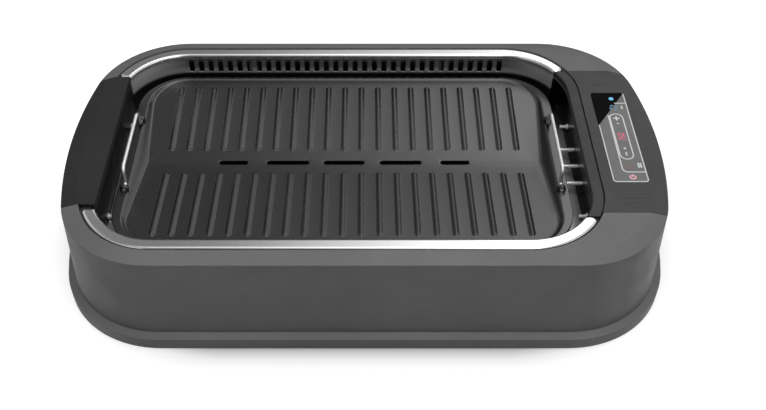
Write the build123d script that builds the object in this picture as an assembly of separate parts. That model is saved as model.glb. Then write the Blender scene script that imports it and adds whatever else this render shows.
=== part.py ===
from build123d import *
from math import atan2, cos, degrees, radians, sin, sqrt, tan
import os

# Smokeless indoor grill, in millimetres. The origin is the centre of the footprint on the
# table, +X runs to the control panel, +Y to the back and +Z up.

# Body outline in plan, at the top of the wall: straight front and back, bowed ends
body_width = 513.0
body_depth = 290.0
corner_radius = 81.4
end_radius = 397.4

# Heights of the body
foot_height = 2.7
pan_bottom_z = 1.5
skirt_top_z = 12.8
wall_base_z = 14.9
wall_top_z = 92.7
body_top_z = 97.0

# Body walls
skirt_grow = 10.4
wall_flare = 3.9
bevel_width = 13.5
housing_wall = 2.6
pan_wall = 2.5
pan_floor = 2.5
pan_ledge = 4.3
seam = 0.25
cut_over = 4.0

# Well, its trim and its lining
well_left_margin = 33.5
well_right_margin = 70.5
well_side_margin = 25.0
well_radius = 55.0
rail_width = 11.0
rail_height = 4.2
rail_round = 2.4
rail_end_round = 4.5
rail_left_end_round = 3.5
rail_skin = 1.3
rail_left_end_gap = 2.5
rail_right_end_gap = 2.2
trim_gap = 0.3
rail_seam = 1.2
seat_inset = 2.2
seat_thick = 2.0
bezel_base = 2.8
bezel_rib_high = 1.8
bezel_rib_inset = 1.2
bezel_band_inset = 1.2
bezel_band_width = 9.8
bezel_band_drop = 0.5
bezel_round = 1.2
liner_inset = 1.0
liner_sheet = 0.8
liner_lip = 4.0
liner_end_gap = 1.0
vent_pitch = 9.3
vent_width = 5.0
vent_low_z = 76.9
vent_high_z = 90.7

# Inner end walls of the well
left_wall_step = 3.5
right_wall_step = 5.0
end_wall_thick = 2.0
end_wall_lip = 7.0
end_wall_lip_thick = 1.5
stud_margin = 25.0
stud_z = 59.1
stud_radius = 1.8
stud_length = 7.5
stud_tip_round = 0.8
stud_collar_radius = 3.0
stud_collar_thick = 1.0

# Side panels
panel_shift_y = 2.0
left_panel_margin = 61.0
right_panel_margin = 51.7
panel_low_z = 68.0
panel_lip = 2.0
panel_lip_high = 6.4
panel_edge_inset = 11.5
groove_width = 1.2
groove_depth = 0.2
groove_front_step = 20.0
groove_pitch = 5.2
groove_count = 3
groove_inner_margin = 45.5
groove_outer_margin = 13.5
thin_groove_rear_step = 22.3
thin_groove_length = 28.0

# Finger grips below the side panels
grip_half_width = 50.0
grip_low_z = 40.0
grip_depth = 17.0
grip_wall = 2.0
grip_round = 9.0

# Control label and what is under it
label_margin = 34.6
label_y = 3.2
label_width = 30.6
label_length = 118.5
label_corner = 3.0
label_thick = 0.4
touch_board_drop = 2.8
board_thick = 1.6
touch_board_margin = 1.0
display_step = 2.7
display_width = 9.0
display_length = 12.0
display_gap = 0.4
lamp_radius = 1.5
lamp_side_step = 1.5
lamp_far_step = 50.5
lamp_near_step = 38.0
window_gap = 0.5
post_radius = 3.0
board_screw_radius = 1.2
board_screw_head_radius = 2.2
board_screw_head_high = 1.4
board_screw_length = 4.0

# Grill plate
plate_end_gap = 11.5
plate_side_gap = 7.5
plate_corner_step = 10.0
plate_top_z = 77.0
plate_valley_z = 67.8
plate_slope = 4.75
plate_thick = 3.6
flange_thick = 3.0
end_flange_width = 9.0
edge_rim_width = 3.5
riser_run = 7.8
rib_end_margin = 36.0
rib_pitch = 15.6
rib_width = 4.2
rib_height = 2.7
rib_round = 1.5
rib_near_y = 15.3
rib_far_margin = 15.5
slot_width = 5.0
slot_places = [(-98.6, 25.5), (-50.0, 37.5), (0.0, 36.0), (50.5, 37.0), (99.0, 25.5)]
plate_edge_round = 1.0
plate_foot_margin = 73.0
plate_foot_length = 14.0
plate_foot_width = 4.4

# Bails and their ears
bail_margin = 6.7
bail_pivot_y = 43.0
bail_pivot_rise = 2.2
bail_bar_half_length = 37.4
bail_bar_z = 95.0
wire_radius = 1.6
wire_bend = 6.0
ear_thick = 4.0
ear_half_width = 3.6
ear_gap = 0.35
pivot_gap = 0.06

# Heat tub and drip tray
tub_floor_z = 35.0
sheet = 1.2
tub_flange_top_z = 57.2
tub_inset = 14.0
tub_draw = 5.0
tub_flange_gap = 0.7
tray_end_gap = 22.5
tray_side_gap = 19.0
tray_height = 14.8
tray_draw = 6.0
tray_lip = 1.5
tray_ridge_width = 10.0
tray_ridge_high = 3.0

# Heating element
tube_radius = 3.25
tube_z = 59.0
tube_bend = 20.0
inner_run_y = 26.0
outer_run_gap = 42.0
left_turn_gap = 58.0
inner_turn_gap = 80.0
right_turn_gap = 36.0
lead_bend = 11.0
block_reach = 24.4
block_length = 7.0
block_half_depth = 30.0
block_high = 13.0
block_seat_gap = 0.2
notch_radius = 2.1
pin_radius = 1.75
pin_z = 63.0
pin_pitch = 22.0
pin_reach = 0.4
pin_tip_round = 0.7
probe_radius = 2.0
probe_length = 48.0
probe_z = 61.3
probe_tip_share = 0.9
bracket_foot_step = 43.0
bracket_width = 12.0
bracket_sheet = 1.5
bracket_foot = 5.0

# Terminal socket behind the right wall
socket_length = 14.0
socket_half_depth = 32.0
socket_half_height = 10.0

# Fan
fan_y = 10.0
casing_radius = 70.0
casing_wall = 2.0
casing_high = 25.0
casing_eye_radius = 45.0
casing_duct_half_width = 50.0
casing_duct_end_gap = 0.8
impeller_radius = 56.0
impeller_rise = 5.0
impeller_high = 17.0
impeller_disc = 1.2
impeller_ring_width = 6.0
hub_radius = 22.0
hub_wall = 1.8
blade_count = 24
blade_thick = 1.2
blade_lean = 35.0
motor_radius = 18.0
motor_high = 14.0
bush_radius = 3.5
bush_high = 2.0
shaft_radius = 1.5
shaft_gap = 0.05
exhaust_count = 11
exhaust_pitch = 8.4
exhaust_width = 5.0
exhaust_low_z = 17.5
exhaust_high_z = 26.5

# Power board and its parts
board_inner_margin = 53.5
board_outer_margin = 25.5
board_low_y = -72.0
board_high_y = 84.0
board_rise = 5.0
relay_size = (16.0, 20.0, 16.0)
relay_place = (9.5, 22.0)
transformer_size = (22.0, 30.0, 24.0)
transformer_place = (12.5, 132.0)
capacitor_sizes = [(5.0, 18.0), (4.0, 14.0)]
capacitor_places = [(6.0, 109.0), (6.0, 38.5)]
fuse_radius = 2.6
fuse_length = 18.0
fuse_place = (23.0, 50.0)
ribbon_place = (26.6, 92.0)
ribbon_width = 12.0
ribbon_thick = 0.8
lead_radius = 1.0
lead_run = 9.0
lead_turn = 7.5
supply_radius = 1.5
supply_spread = 3.5
supply_end_inset = 4.5

# Power inlet in the back wall
inlet_margin = 106.5
inlet_z = 29.0
inlet_width = 28.0
inlet_height = 20.0
inlet_depth = 22.0
inlet_flange = 3.0
inlet_flange_thick = 1.6
inlet_wall = 2.2
inlet_back = 4.0
blade_pin_width = 4.0
blade_pin_thick = 2.0
blade_pin_reach = 11.0
blade_pin_pitch = 7.0
blade_pin_tail = 3.0

# Feet and base screws
foot_radius = 11.0
foot_recess = 1.2
foot_end_margin = 70.5
foot_side_margin = 33.0
boss_radius = 4.5
boss_place_grow = 8.5
boss_side_x = 90.0
boss_angle = 55.0
pan_boss_radius = 5.5
pan_boss_high = 4.0
screw_radius = 1.5
screw_gap = 0.05
screw_hole_gap = 0.2
screw_head_radius = 3.0
screw_head_high = 1.9
screw_head_sink = 0.5
screw_recess_gap = 0.6
screw_length = 18.0
cross_width = 0.9
cross_length = 3.6
cross_depth = 0.9

# Derived places of the body and the well
half_body_width = body_width / 2
half_body_depth = body_depth / 2
well_left_x = well_left_margin - half_body_width
well_right_x = half_body_width - well_right_margin
well_half_width = (well_right_x - well_left_x) / 2
well_half_depth = half_body_depth - well_side_margin
well_x = (well_left_x + well_right_x) / 2
left_wall_x = well_left_x + left_wall_step
right_wall_x = well_right_x + right_wall_step
left_panel_half_depth = half_body_depth - left_panel_margin
right_panel_half_depth = half_body_depth - right_panel_margin
stud_y = left_panel_half_depth - stud_margin
rail_left_end_y = left_panel_half_depth + rail_left_end_gap
rail_right_end_y = right_panel_half_depth + rail_right_end_gap
foot_x = half_body_width - foot_end_margin
foot_y = half_body_depth - foot_side_margin
inlet_x = half_body_width - inlet_margin
vent_count = int(2 * (well_half_width - well_radius) / vent_pitch) + 1
end_arc_x = half_body_width - end_radius
corner_y = half_body_depth - corner_radius
corner_x = end_arc_x + sqrt((end_radius - corner_radius) ** 2 - corner_y**2)
tangent_angle = degrees(atan2(corner_y, corner_x - end_arc_x))
top_skin_z = body_top_z - housing_wall
rail_low_z = body_top_z - rail_height
seat_top_z = rail_low_z - bezel_base
seat_low_z = seat_top_z - seat_thick
trim_edge = rail_width + rail_seam
rail_end_wall = rail_skin + rail_end_round
seat_outer_edge = trim_edge + housing_wall
bezel_band_edge = bezel_band_inset + bezel_band_width
pan_floor_z = pan_bottom_z + pan_floor
tub_flange_low_z = tub_flange_top_z - sheet
liner_low_z = tub_flange_low_z - liner_sheet
panel_front_y = panel_shift_y - right_panel_half_depth
panel_rear_y = panel_shift_y + right_panel_half_depth
left_front_y = panel_shift_y - left_panel_half_depth
left_rear_y = panel_shift_y + left_panel_half_depth
well_corner_x = well_half_width - well_radius
well_corner_y = well_half_depth - well_radius

# Derived places of the right panel and its label
groove_near_y = panel_front_y + groove_front_step
groove_low_x = half_body_width - groove_inner_margin
groove_high_x = half_body_width - groove_outer_margin
thin_groove_y = panel_rear_y - thin_groove_rear_step
label_x = half_body_width - label_margin
display_y = label_y - display_step
lamp_x = label_x + lamp_side_step
lamp_far_y = label_y + lamp_far_step
lamp_near_y = label_y + lamp_near_step

# Derived places of what lies in the well
plate_half_width = well_half_width - plate_end_gap
plate_half_depth = well_half_depth - plate_side_gap
plate_radius = well_radius - plate_corner_step
plate_foot_x = plate_half_width - plate_foot_margin
bracket_step = plate_foot_x - bracket_foot_step
rib_count = int(2 * (plate_half_width - rib_end_margin) / rib_pitch) + 1
rib_far_y = plate_half_depth - rib_far_margin
bail_x = plate_half_width - bail_margin
tray_half_width = well_half_width - tray_end_gap
tray_half_depth = well_half_depth - tray_side_gap
tray_radius = well_radius - tray_side_gap
outer_run_y = well_half_depth - outer_run_gap
left_turn_x = well_left_x + left_turn_gap
inner_turn_x = well_right_x - inner_turn_gap
right_turn_x = well_right_x - right_turn_gap
block_low_x = right_wall_x - block_reach
pivot_z = plate_top_z + bail_pivot_rise
plate_low_z = plate_valley_z - plate_thick
slope_rise = tan(radians(plate_slope))
tray_low_z = tub_floor_z + sheet

# Derived places of the boards
touch_board_top_z = top_skin_z - touch_board_drop
board_low_x = half_body_width - board_inner_margin
board_high_x = half_body_width - board_outer_margin
board_z = pan_floor_z + board_rise
board_top_z = board_z + board_thick


def span_box(low_x, high_x, low_y, high_y, low_z, high_z):
    """A box between two opposite corners."""
    middle = Pos((low_x + high_x) / 2, (low_y + high_y) / 2, (low_z + high_z) / 2)
    return middle * Box(high_x - low_x, high_y - low_y, high_z - low_z)


def rod(radius, low_z, high_z, x=0, y=0):
    """An upright round bar."""
    return Pos(x, y, (low_z + high_z) / 2) * Cylinder(radius, high_z - low_z)


def rod_x(radius, low_x, high_x, y, z):
    """A round bar along X."""
    return Pos((low_x + high_x) / 2, y, z) * Rot(0, 90, 0) * Cylinder(radius, high_x - low_x)


def rod_y(radius, low_y, high_y, x, z):
    """A round bar along Y."""
    return Pos(x, (low_y + high_y) / 2, z) * Rot(90, 0, 0) * Cylinder(radius, high_y - low_y)


def body_face(grow, z):
    """The body's plan outline, grown by a distance, at a height."""
    end_sweep = 2 * tangent_angle
    corner_sweep = 90 - tangent_angle
    far_y = half_body_depth + grow
    ends = []
    for side, first in ((1, -tangent_angle), (-1, 180 - tangent_angle)):
        ends.append(CenterArc((side * end_arc_x, 0), end_radius + grow, first, end_sweep))
    corners = [
        CenterArc((corner_x, corner_y), corner_radius + grow, tangent_angle, corner_sweep),
        CenterArc((-corner_x, corner_y), corner_radius + grow, 90, corner_sweep),
        CenterArc((-corner_x, -corner_y), corner_radius + grow, 180 + tangent_angle, corner_sweep),
        CenterArc((corner_x, -corner_y), corner_radius + grow, 270, corner_sweep),
    ]
    sides = [Line((-corner_x, y), (corner_x, y)) for y in (-far_y, far_y)]
    return Pos(0, 0, z) * make_face(ends + corners + sides)


def well_face(grow, z):
    """The well's plan outline, grown by a distance, at a height."""
    width = 2 * (well_half_width + grow)
    depth = 2 * (well_half_depth + grow)
    return Pos(well_x, 0, z) * RectangleRounded(width, depth, well_radius + grow)


def plate_face(half_width, half_depth, radius, z):
    """A rounded rectangle about the middle of the well."""
    return Pos(well_x, 0, z) * RectangleRounded(2 * half_width, 2 * half_depth, radius)


def well_ring(outer, inner, low_z, high_z):
    """An upright ring between two outlines of the well."""
    high = high_z - low_z
    return extrude(well_face(outer, low_z), high) - extrude(well_face(inner, low_z), high)


def body_solid(inset):
    """The body's outer form above the skirt, or what a wall of that thickness leaves inside."""
    shoulder_z = wall_top_z - inset
    shoulder = body_face(-inset, shoulder_z)
    lower = loft([body_face(wall_flare - inset, wall_base_z), shoulder], ruled=True)
    upper = loft([shoulder, body_face(-bevel_width, body_top_z - inset)], ruled=True)
    return lower + upper


def boss_places():
    """Where the base screws stand: at the well's corners and along the front and back."""
    reach = well_radius + boss_place_grow
    step_x = reach * cos(radians(boss_angle))
    step_y = reach * sin(radians(boss_angle))
    places = []
    for side_y in (-1, 1):
        for side_x in (-1, 1):
            x = well_x + side_x * (well_corner_x + step_x)
            places.append((x, side_y * (well_corner_y + step_y)))
            y = side_y * (well_half_depth + boss_place_grow)
            places.append((well_x + side_x * boss_side_x, y))
    return places


def foot_places():
    return [(x, y) for x in (-foot_x, foot_x) for y in (-foot_y, foot_y)]


def left_panel_zone(gap):
    """The block of space that the left panel fills, grown by a gap."""
    far_x = -(half_body_width + cut_over)
    drop_x = well_left_x - seat_outer_edge - seam
    low_y = left_front_y - gap
    high_y = left_rear_y + gap
    high_z = body_top_z + cut_over
    cover = span_box(far_x, left_wall_x, low_y, high_y, top_skin_z, high_z)
    return cover + span_box(far_x, drop_x, low_y, high_y, panel_low_z - gap, high_z)


def right_panel_zone(gap):
    """The block of space that the right panel fills, grown by a gap."""
    far_x = half_body_width + cut_over
    drop_x = well_right_x + seat_outer_edge + seam
    low_y = panel_front_y - gap
    high_y = panel_rear_y + gap
    high_z = body_top_z + cut_over
    cover = span_box(well_corner_x, far_x, low_y, high_y, top_skin_z, high_z)
    cover -= extrude(well_face(panel_edge_inset - gap, top_skin_z), high_z - top_skin_z)
    return cover + span_box(drop_x, far_x, low_y, high_y, panel_low_z - gap, high_z)


def grip_zone(side, wall):
    """The pocket of a finger grip, with its wall."""
    near_x = side * (half_body_width - grip_depth - wall)
    far_x = side * (half_body_width + skirt_grow)
    low_y = panel_shift_y - grip_half_width - wall
    high_y = panel_shift_y + grip_half_width + wall
    low_z = grip_low_z - wall
    high_z = panel_low_z - grip_wall + wall
    block = span_box(min(near_x, far_x), max(near_x, far_x), low_y, high_y, low_z, high_z)
    return fillet(block.edges().filter_by(Axis.X), grip_round + wall)


def make_outer_housing():
    """The grey shell: wall, bevel, trim seat, screw bosses and all its openings."""
    form = body_solid(0)
    shell = form - body_solid(housing_wall)
    open_high = body_top_z + cut_over - seat_top_z
    shell -= extrude(well_face(trim_edge, seat_top_z), open_high)
    seat_wall = well_ring(seat_outer_edge, trim_edge, seat_low_z, body_top_z) & form
    shell += seat_wall
    shell += well_ring(trim_edge + seam, seat_inset, seat_low_z, seat_top_z)
    for x, y in boss_places():
        shell += rod(boss_radius, pan_floor_z + pan_boss_high, seat_low_z + seat_thick / 2, x, y)
    for x, y in boss_places():
        shell -= rod(screw_radius + screw_gap, pan_floor_z, pan_floor_z + screw_length + seat_thick, x, y)
    shell -= left_panel_zone(seam)
    shell -= right_panel_zone(seam)
    for side in (-1, 1):
        shell -= grip_zone(side, grip_wall)
    shell -= exhaust_slots()
    shell -= inlet_block(0)
    return shell


def exhaust_slots():
    """The slots low in the back wall that the fan blows through."""
    slots = []
    span = (exhaust_count - 1) * exhaust_pitch
    for place in range(exhaust_count):
        x = well_x - span / 2 + place * exhaust_pitch
        low_y = half_body_depth - casing_wall
        high_y = half_body_depth + skirt_grow
        slot = span_box(x - exhaust_width / 2, x + exhaust_width / 2, low_y, high_y,
                        exhaust_low_z, exhaust_high_z)
        slots.append(slot)
    return slots


def make_base_pan():
    """The skirt at the foot of the body, with the floor, screw bosses and board posts."""
    skirt = extrude(body_face(skirt_grow, pan_bottom_z), skirt_top_z - pan_bottom_z)
    edge = wall_flare + seam
    skirt += loft([body_face(skirt_grow, skirt_top_z), body_face(edge, wall_base_z)], ruled=True)
    ledge_z = wall_base_z - pan_ledge
    skirt -= extrude(body_face(skirt_grow - pan_wall, pan_floor_z), ledge_z - pan_floor_z)
    inner_edge = wall_flare - housing_wall
    skirt -= extrude(body_face(inner_edge, ledge_z), pan_ledge + cut_over)
    for x, y in boss_places():
        skirt += rod(pan_boss_radius, pan_bottom_z, pan_floor_z + pan_boss_high, x, y)
    for x, y in boss_places():
        head_room = screw_head_radius + screw_recess_gap
        skirt -= rod(head_room, pan_bottom_z, pan_floor_z, x, y)
        skirt -= rod(screw_radius + screw_hole_gap, pan_floor_z, pan_floor_z + pan_boss_high, x, y)
    for x, y in foot_places():
        skirt -= rod(foot_radius, pan_bottom_z, pan_bottom_z + foot_recess, x, y)
    for x, y in board_post_places():
        skirt += rod(post_radius, pan_floor_z, board_z, x, y)
        skirt -= rod(board_screw_radius, board_z - board_screw_length / 2, board_z, x, y)
    return skirt


def make_feet():
    """Round rubber feet, seated in the floor's recesses."""
    feet = []
    for x, y in foot_places():
        foot = rod(foot_radius, 0, foot_height, x, y)
        lower_edge = foot.edges().sort_by(Axis.Z)[0]
        feet.append(fillet(lower_edge, foot_recess / 2))
    return feet


def cross_cut(x, y, z, upwards):
    """A cross recess in a screw head's face."""
    low_z = z - cross_depth if upwards else z
    bars = [
        span_box(x - cross_length / 2, x + cross_length / 2, y - cross_width / 2, y + cross_width / 2,
                 low_z, low_z + cross_depth),
        span_box(x - cross_width / 2, x + cross_width / 2, y - cross_length / 2, y + cross_length / 2,
                 low_z, low_z + cross_depth),
    ]
    return bars


def make_base_screws():
    """Pan-head screws that come up through the floor."""
    screws = []
    for x, y in boss_places():
        head_low_z = pan_floor_z - screw_head_high
        head = rod(screw_head_radius, head_low_z, pan_floor_z, x, y)
        head = fillet(head.edges().sort_by(Axis.Z)[0], screw_head_sink)
        screw = head + rod(screw_radius, pan_floor_z, pan_floor_z + screw_length, x, y)
        screws.append(screw - cross_cut(x, y, head_low_z, False))
    return screws


def make_bezel_ring():
    """The plastic ring on the seat, with a rib under the rails and a bare band at the right."""
    ring = well_ring(rail_width - trim_gap, seat_inset, seat_top_z, rail_low_z)
    rib_inset = rail_skin + bezel_rib_inset
    rib = well_ring(rail_width - rib_inset, rib_inset, rail_low_z, rail_low_z + bezel_rib_high)
    rib_end = rail_end_wall + bezel_rib_inset
    ring += (rib & rail_zone(1, rib_end)) + (rib & rail_zone(-1, rib_end))
    reach_y = rail_right_end_y - trim_gap
    band = well_ring(bezel_band_edge, bezel_band_inset, rail_low_z, body_top_z - bezel_band_drop)
    band = fillet(band.faces().sort_by(Axis.Z)[-1].edges(), bezel_round)
    band &= span_box(well_corner_x, half_body_width, -reach_y, reach_y, rail_low_z, body_top_z)
    return ring + band


def rail_zone(side_y, trim):
    """The space that one rail runs through, shortened at its ends by a trim."""
    left_y = rail_left_end_y + trim
    right_y = rail_right_end_y + trim
    zone = span_box(-body_width, well_x, left_y, body_depth, rail_low_z, body_top_z)
    zone += span_box(well_x, body_width, right_y, body_depth, rail_low_z, body_top_z)
    return zone if side_y > 0 else mirror(zone, Plane.XZ)


def make_rail(side_y):
    """One U-shaped rail, front (-1) or rear (1): crowned on top, hollow below."""
    rail = well_ring(rail_width, 0, rail_low_z, body_top_z) & rail_zone(side_y, 0)
    right_ends = [edge for edge in rail.edges().filter_by(Axis.Z)
                  if edge.center().X > well_corner_x / 2]
    rail = fillet(right_ends, rail_end_round)
    left_outer_end = rail.edges().filter_by(Axis.Z).sort_by(Axis.X)[0]
    rail = fillet(left_outer_end, rail_left_end_round)
    top_face = rail.faces().sort_by(Axis.Z)[-1]
    rail = fillet(top_face.edges(), rail_round)
    hollow = well_ring(rail_width - rail_skin, rail_skin, rail_low_z, body_top_z - rail_skin)
    return rail - (hollow & rail_zone(side_y, rail_end_wall))


def board_post_places():
    inset = 2 * post_radius
    xs = (board_low_x + inset, board_high_x - inset)
    ys = (board_low_y + inset, board_high_y - inset)
    return [(x, y) for x in xs for y in ys]


def make_liner(side_y):
    """The sheet wall round one long side of the well, with a lip below that carries the tub."""
    outer = liner_inset + liner_sheet
    sheet_wall = well_ring(outer, liner_inset, liner_low_z, seat_top_z + bezel_base / 2)
    sheet_wall += well_ring(outer, -liner_lip, liner_low_z, liner_low_z + liner_sheet)
    left_y = -left_front_y if side_y < 0 else left_rear_y
    right_y = -panel_front_y if side_y < 0 else panel_rear_y
    low_z = liner_low_z
    zone = span_box(-body_width, well_x, left_y + liner_end_gap, body_depth, low_z, body_top_z)
    zone += span_box(well_x, body_width, right_y + liner_end_gap, body_depth, low_z, body_top_z)
    if side_y < 0:
        return sheet_wall & mirror(zone, Plane.XZ)
    return (sheet_wall & zone) - vent_slots()


def vent_slots():
    """The row of air slots at the back of the well."""
    slots = []
    span = (vent_count - 1) * vent_pitch
    low_y = well_half_depth
    high_y = well_half_depth + liner_inset + 2 * liner_sheet
    for place in range(vent_count):
        x = well_x - span / 2 + place * vent_pitch
        slots.append(span_box(x - vent_width / 2, x + vent_width / 2, low_y, high_y,
                              vent_low_z, vent_high_z))
    return slots


def make_left_wall():
    """The black inner wall below the left panel."""
    low_x = left_wall_x - end_wall_thick
    high_z = body_top_z - panel_lip_high
    wall = span_box(low_x, left_wall_x, left_front_y, left_rear_y, liner_low_z, high_z)
    lip_high_z = liner_low_z + liner_sheet
    lip_low_z = lip_high_z - end_wall_lip_thick
    wall += span_box(low_x, left_wall_x + end_wall_lip, left_front_y, left_rear_y, lip_low_z, lip_high_z)
    wall &= extrude(well_face(seat_inset - trim_gap, lip_low_z), high_z - lip_low_z)
    for y in (-stud_y, stud_y):
        wall -= rod_x(stud_radius, low_x, left_wall_x, y, stud_z)
    return wall


def make_right_wall():
    """The black inner wall below the bezel's bare band, pierced by the contact pins."""
    high_x = right_wall_x + end_wall_thick
    wall = span_box(right_wall_x, high_x, panel_front_y, panel_rear_y, liner_low_z, seat_low_z)
    lip_high_z = liner_low_z + liner_sheet
    lip_low_z = lip_high_z - end_wall_lip_thick
    lip_low_x = right_wall_x - end_wall_lip
    wall += span_box(lip_low_x, high_x, panel_front_y, panel_rear_y, lip_low_z, lip_high_z)
    for y in (-stud_y, stud_y):
        wall -= rod_x(stud_radius, right_wall_x, high_x, y, stud_z)
    for y in pin_places():
        wall -= rod_x(pin_radius, right_wall_x, high_x, y, pin_z)
    return wall


def make_studs():
    """Four bright pins in the end walls that keep the tub's flange down."""
    studs = []
    for y in (-stud_y, stud_y):
        for wall_x, inwards in ((left_wall_x, 1), (right_wall_x, -1)):
            tip_x = wall_x + inwards * stud_length
            collar_x = wall_x + inwards * stud_collar_thick
            back_x = wall_x - inwards * end_wall_thick
            shank = rod_x(stud_radius, min(back_x, tip_x), max(back_x, tip_x), y, stud_z)
            tip_edge = shank.edges().filter_by(GeomType.CIRCLE).sort_by(Axis.X)[-1 if inwards > 0 else 0]
            shank = fillet(tip_edge, stud_tip_round)
            collar = rod_x(stud_collar_radius, min(wall_x, collar_x), max(wall_x, collar_x), y, stud_z)
            collar &= span_box(-body_width, body_width, -body_depth, body_depth,
                               tub_flange_top_z, body_top_z)
            studs.append(shank + collar)
    return studs


def pin_places():
    return (-pin_pitch, 0, pin_pitch)


def make_contact_pins():
    """Three bright pins that stand out of the socket, through the wall, into the well."""
    pins = []
    low_x = block_low_x + block_length / 2 + pin_reach
    high_x = right_wall_x + end_wall_thick + socket_length / 2
    for y in pin_places():
        pin = rod_x(pin_radius, low_x, high_x, y, pin_z)
        tip_edge = pin.edges().filter_by(GeomType.CIRCLE).sort_by(Axis.X)[0]
        pins.append(fillet(tip_edge, pin_tip_round))
    return pins


def make_socket():
    """The block behind the right wall that holds the contact pins."""
    low_x = right_wall_x + end_wall_thick
    block = span_box(low_x, low_x + socket_length, -socket_half_depth, socket_half_depth,
                     pin_z - socket_half_height, pin_z + socket_half_height)
    block = fillet(block.edges().filter_by(Axis.X), pin_radius)
    for y in pin_places():
        block -= rod_x(pin_radius, low_x, low_x + socket_length / 2, y, pin_z)
    return block


def make_left_panel():
    """The cover of the left end: it wraps over the edge and lines the well's top."""
    cover = (body_solid(0) - body_solid(housing_wall)) & left_panel_zone(0)
    lip_low_z = body_top_z - panel_lip_high
    lip = span_box(left_wall_x - panel_lip, left_wall_x, left_front_y, left_rear_y, lip_low_z, top_skin_z)
    lip &= extrude(well_face(seat_inset - trim_gap, lip_low_z), panel_lip_high)
    return cover + lip


def label_face(grow, z):
    """The control label's outline, grown by a distance, at a height."""
    outline = RectangleRounded(label_width + 2 * grow, label_length + 2 * grow, label_corner + grow)
    return Pos(label_x, label_y, z) * outline


def lamp_places():
    return ((lamp_x, lamp_far_y), (lamp_x, lamp_near_y))


def make_right_panel():
    """The cover of the right end: label recess, windows, grooves and board posts."""
    cover = (body_solid(0) - body_solid(housing_wall)) & right_panel_zone(0)
    label_low_z = body_top_z - label_thick
    cover -= extrude(label_face(0, label_low_z), label_thick)
    half_width = display_width / 2 + window_gap
    half_length = display_length / 2 + window_gap
    cover -= span_box(label_x - half_width, label_x + half_width, display_y - half_length,
                      display_y + half_length, top_skin_z, label_low_z)
    for x, y in lamp_places():
        cover -= rod(lamp_radius + window_gap, top_skin_z, label_low_z, x, y)
    groove_low_z = body_top_z - groove_depth
    for place in range(groove_count):
        y = groove_near_y - place * groove_pitch
        cover -= span_box(groove_low_x, groove_high_x, y, y + groove_width, groove_low_z, body_top_z)
    cover -= span_box(label_x - thin_groove_length / 2, label_x + thin_groove_length / 2, thin_groove_y,
                      thin_groove_y + groove_width, groove_low_z, body_top_z)
    for x, y in touch_post_places():
        cover += rod(post_radius, touch_board_top_z, top_skin_z, x, y)
        cover -= rod(board_screw_radius, touch_board_top_z, top_skin_z, x, y)
    return cover


def touch_post_places():
    half_width = label_width / 2
    half_length = label_length / 2 - post_radius
    return [(label_x + i * half_width, label_y + j * half_length) for i in (-1, 1) for j in (-1, 1)]


def make_label():
    return extrude(label_face(0, body_top_z - label_thick), label_thick)


def make_touch_board():
    """The board under the label, hung on the panel's posts."""
    half_width = label_width / 2 + post_radius + touch_board_margin
    half_length = label_length / 2 + touch_board_margin
    low_z = touch_board_top_z - board_thick
    board = span_box(label_x - half_width, label_x + half_width, label_y - half_length,
                     label_y + half_length, low_z, touch_board_top_z)
    for x, y in touch_post_places():
        board -= rod(board_screw_radius, low_z, touch_board_top_z, x, y)
    return board


def make_display():
    """The digit display: a case that reaches up into its window."""
    return span_box(label_x - display_width / 2, label_x + display_width / 2,
                    display_y - display_length / 2, display_y + display_length / 2,
                    touch_board_top_z, body_top_z - label_thick - display_gap)


def make_lamps():
    high_z = body_top_z - label_thick - display_gap
    lamps = []
    for x, y in lamp_places():
        lamp = rod(lamp_radius, touch_board_top_z, high_z, x, y)
        lamps.append(fillet(lamp.edges().sort_by(Axis.Z)[-1], lamp_radius / 2))
    return lamps


def make_board_screws():
    """Small screws that hold both boards."""
    screws = []
    high_z = board_top_z
    for x, y in board_post_places():
        shank = rod(board_screw_radius, high_z - board_screw_length / 2, high_z, x, y)
        head = rod(board_screw_head_radius, high_z, high_z + board_screw_head_high, x, y)
        screws.append(shank + head)
    low_z = touch_board_top_z - board_thick
    for x, y in touch_post_places():
        shank = rod(board_screw_radius, low_z, low_z + board_screw_length, x, y)
        head = rod(board_screw_head_radius, low_z - board_screw_head_high, low_z, x, y)
        screws.append(shank + head)
    return screws


def make_grip(side):
    """A finger grip: a cup let into the end wall under the side panel."""
    cup = grip_zone(side, grip_wall - seam) & body_solid(0)
    return cup - grip_zone(side, 0)


def rib(x, side_y):
    """One rib of the plate: a rounded bar that climbs with the floor."""
    slope = radians(plate_slope)
    length = (rib_far_y - rib_near_y) / cos(slope)
    middle_y = (rib_near_y + rib_far_y) / 2
    middle_z = plate_valley_z + middle_y * slope_rise
    bar = extrude(SlotOverall(length, rib_width, rotation=90), rib_height + plate_thick / 2)
    bar = fillet(bar.faces().sort_by(Axis.Z)[-1].edges(), rib_round)
    bar = Pos(0, 0, -plate_thick / 2) * bar
    return Pos(x, side_y * middle_y, middle_z) * Rot(side_y * plate_slope, 0, 0) * bar


def valley_prism(low_z_at_middle, half_depth, high_z):
    """Everything above the plate's V, as a prism along X."""
    edge_z = low_z_at_middle + half_depth * slope_rise
    points = [(-half_depth, edge_z), (0, low_z_at_middle), (half_depth, edge_z),
              (half_depth, high_z), (-half_depth, high_z)]
    profile = Plane.YZ * make_face(Polyline(points, close=True))
    return Pos(well_x, 0, 0) * extrude(profile, plate_half_width, both=True)


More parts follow.
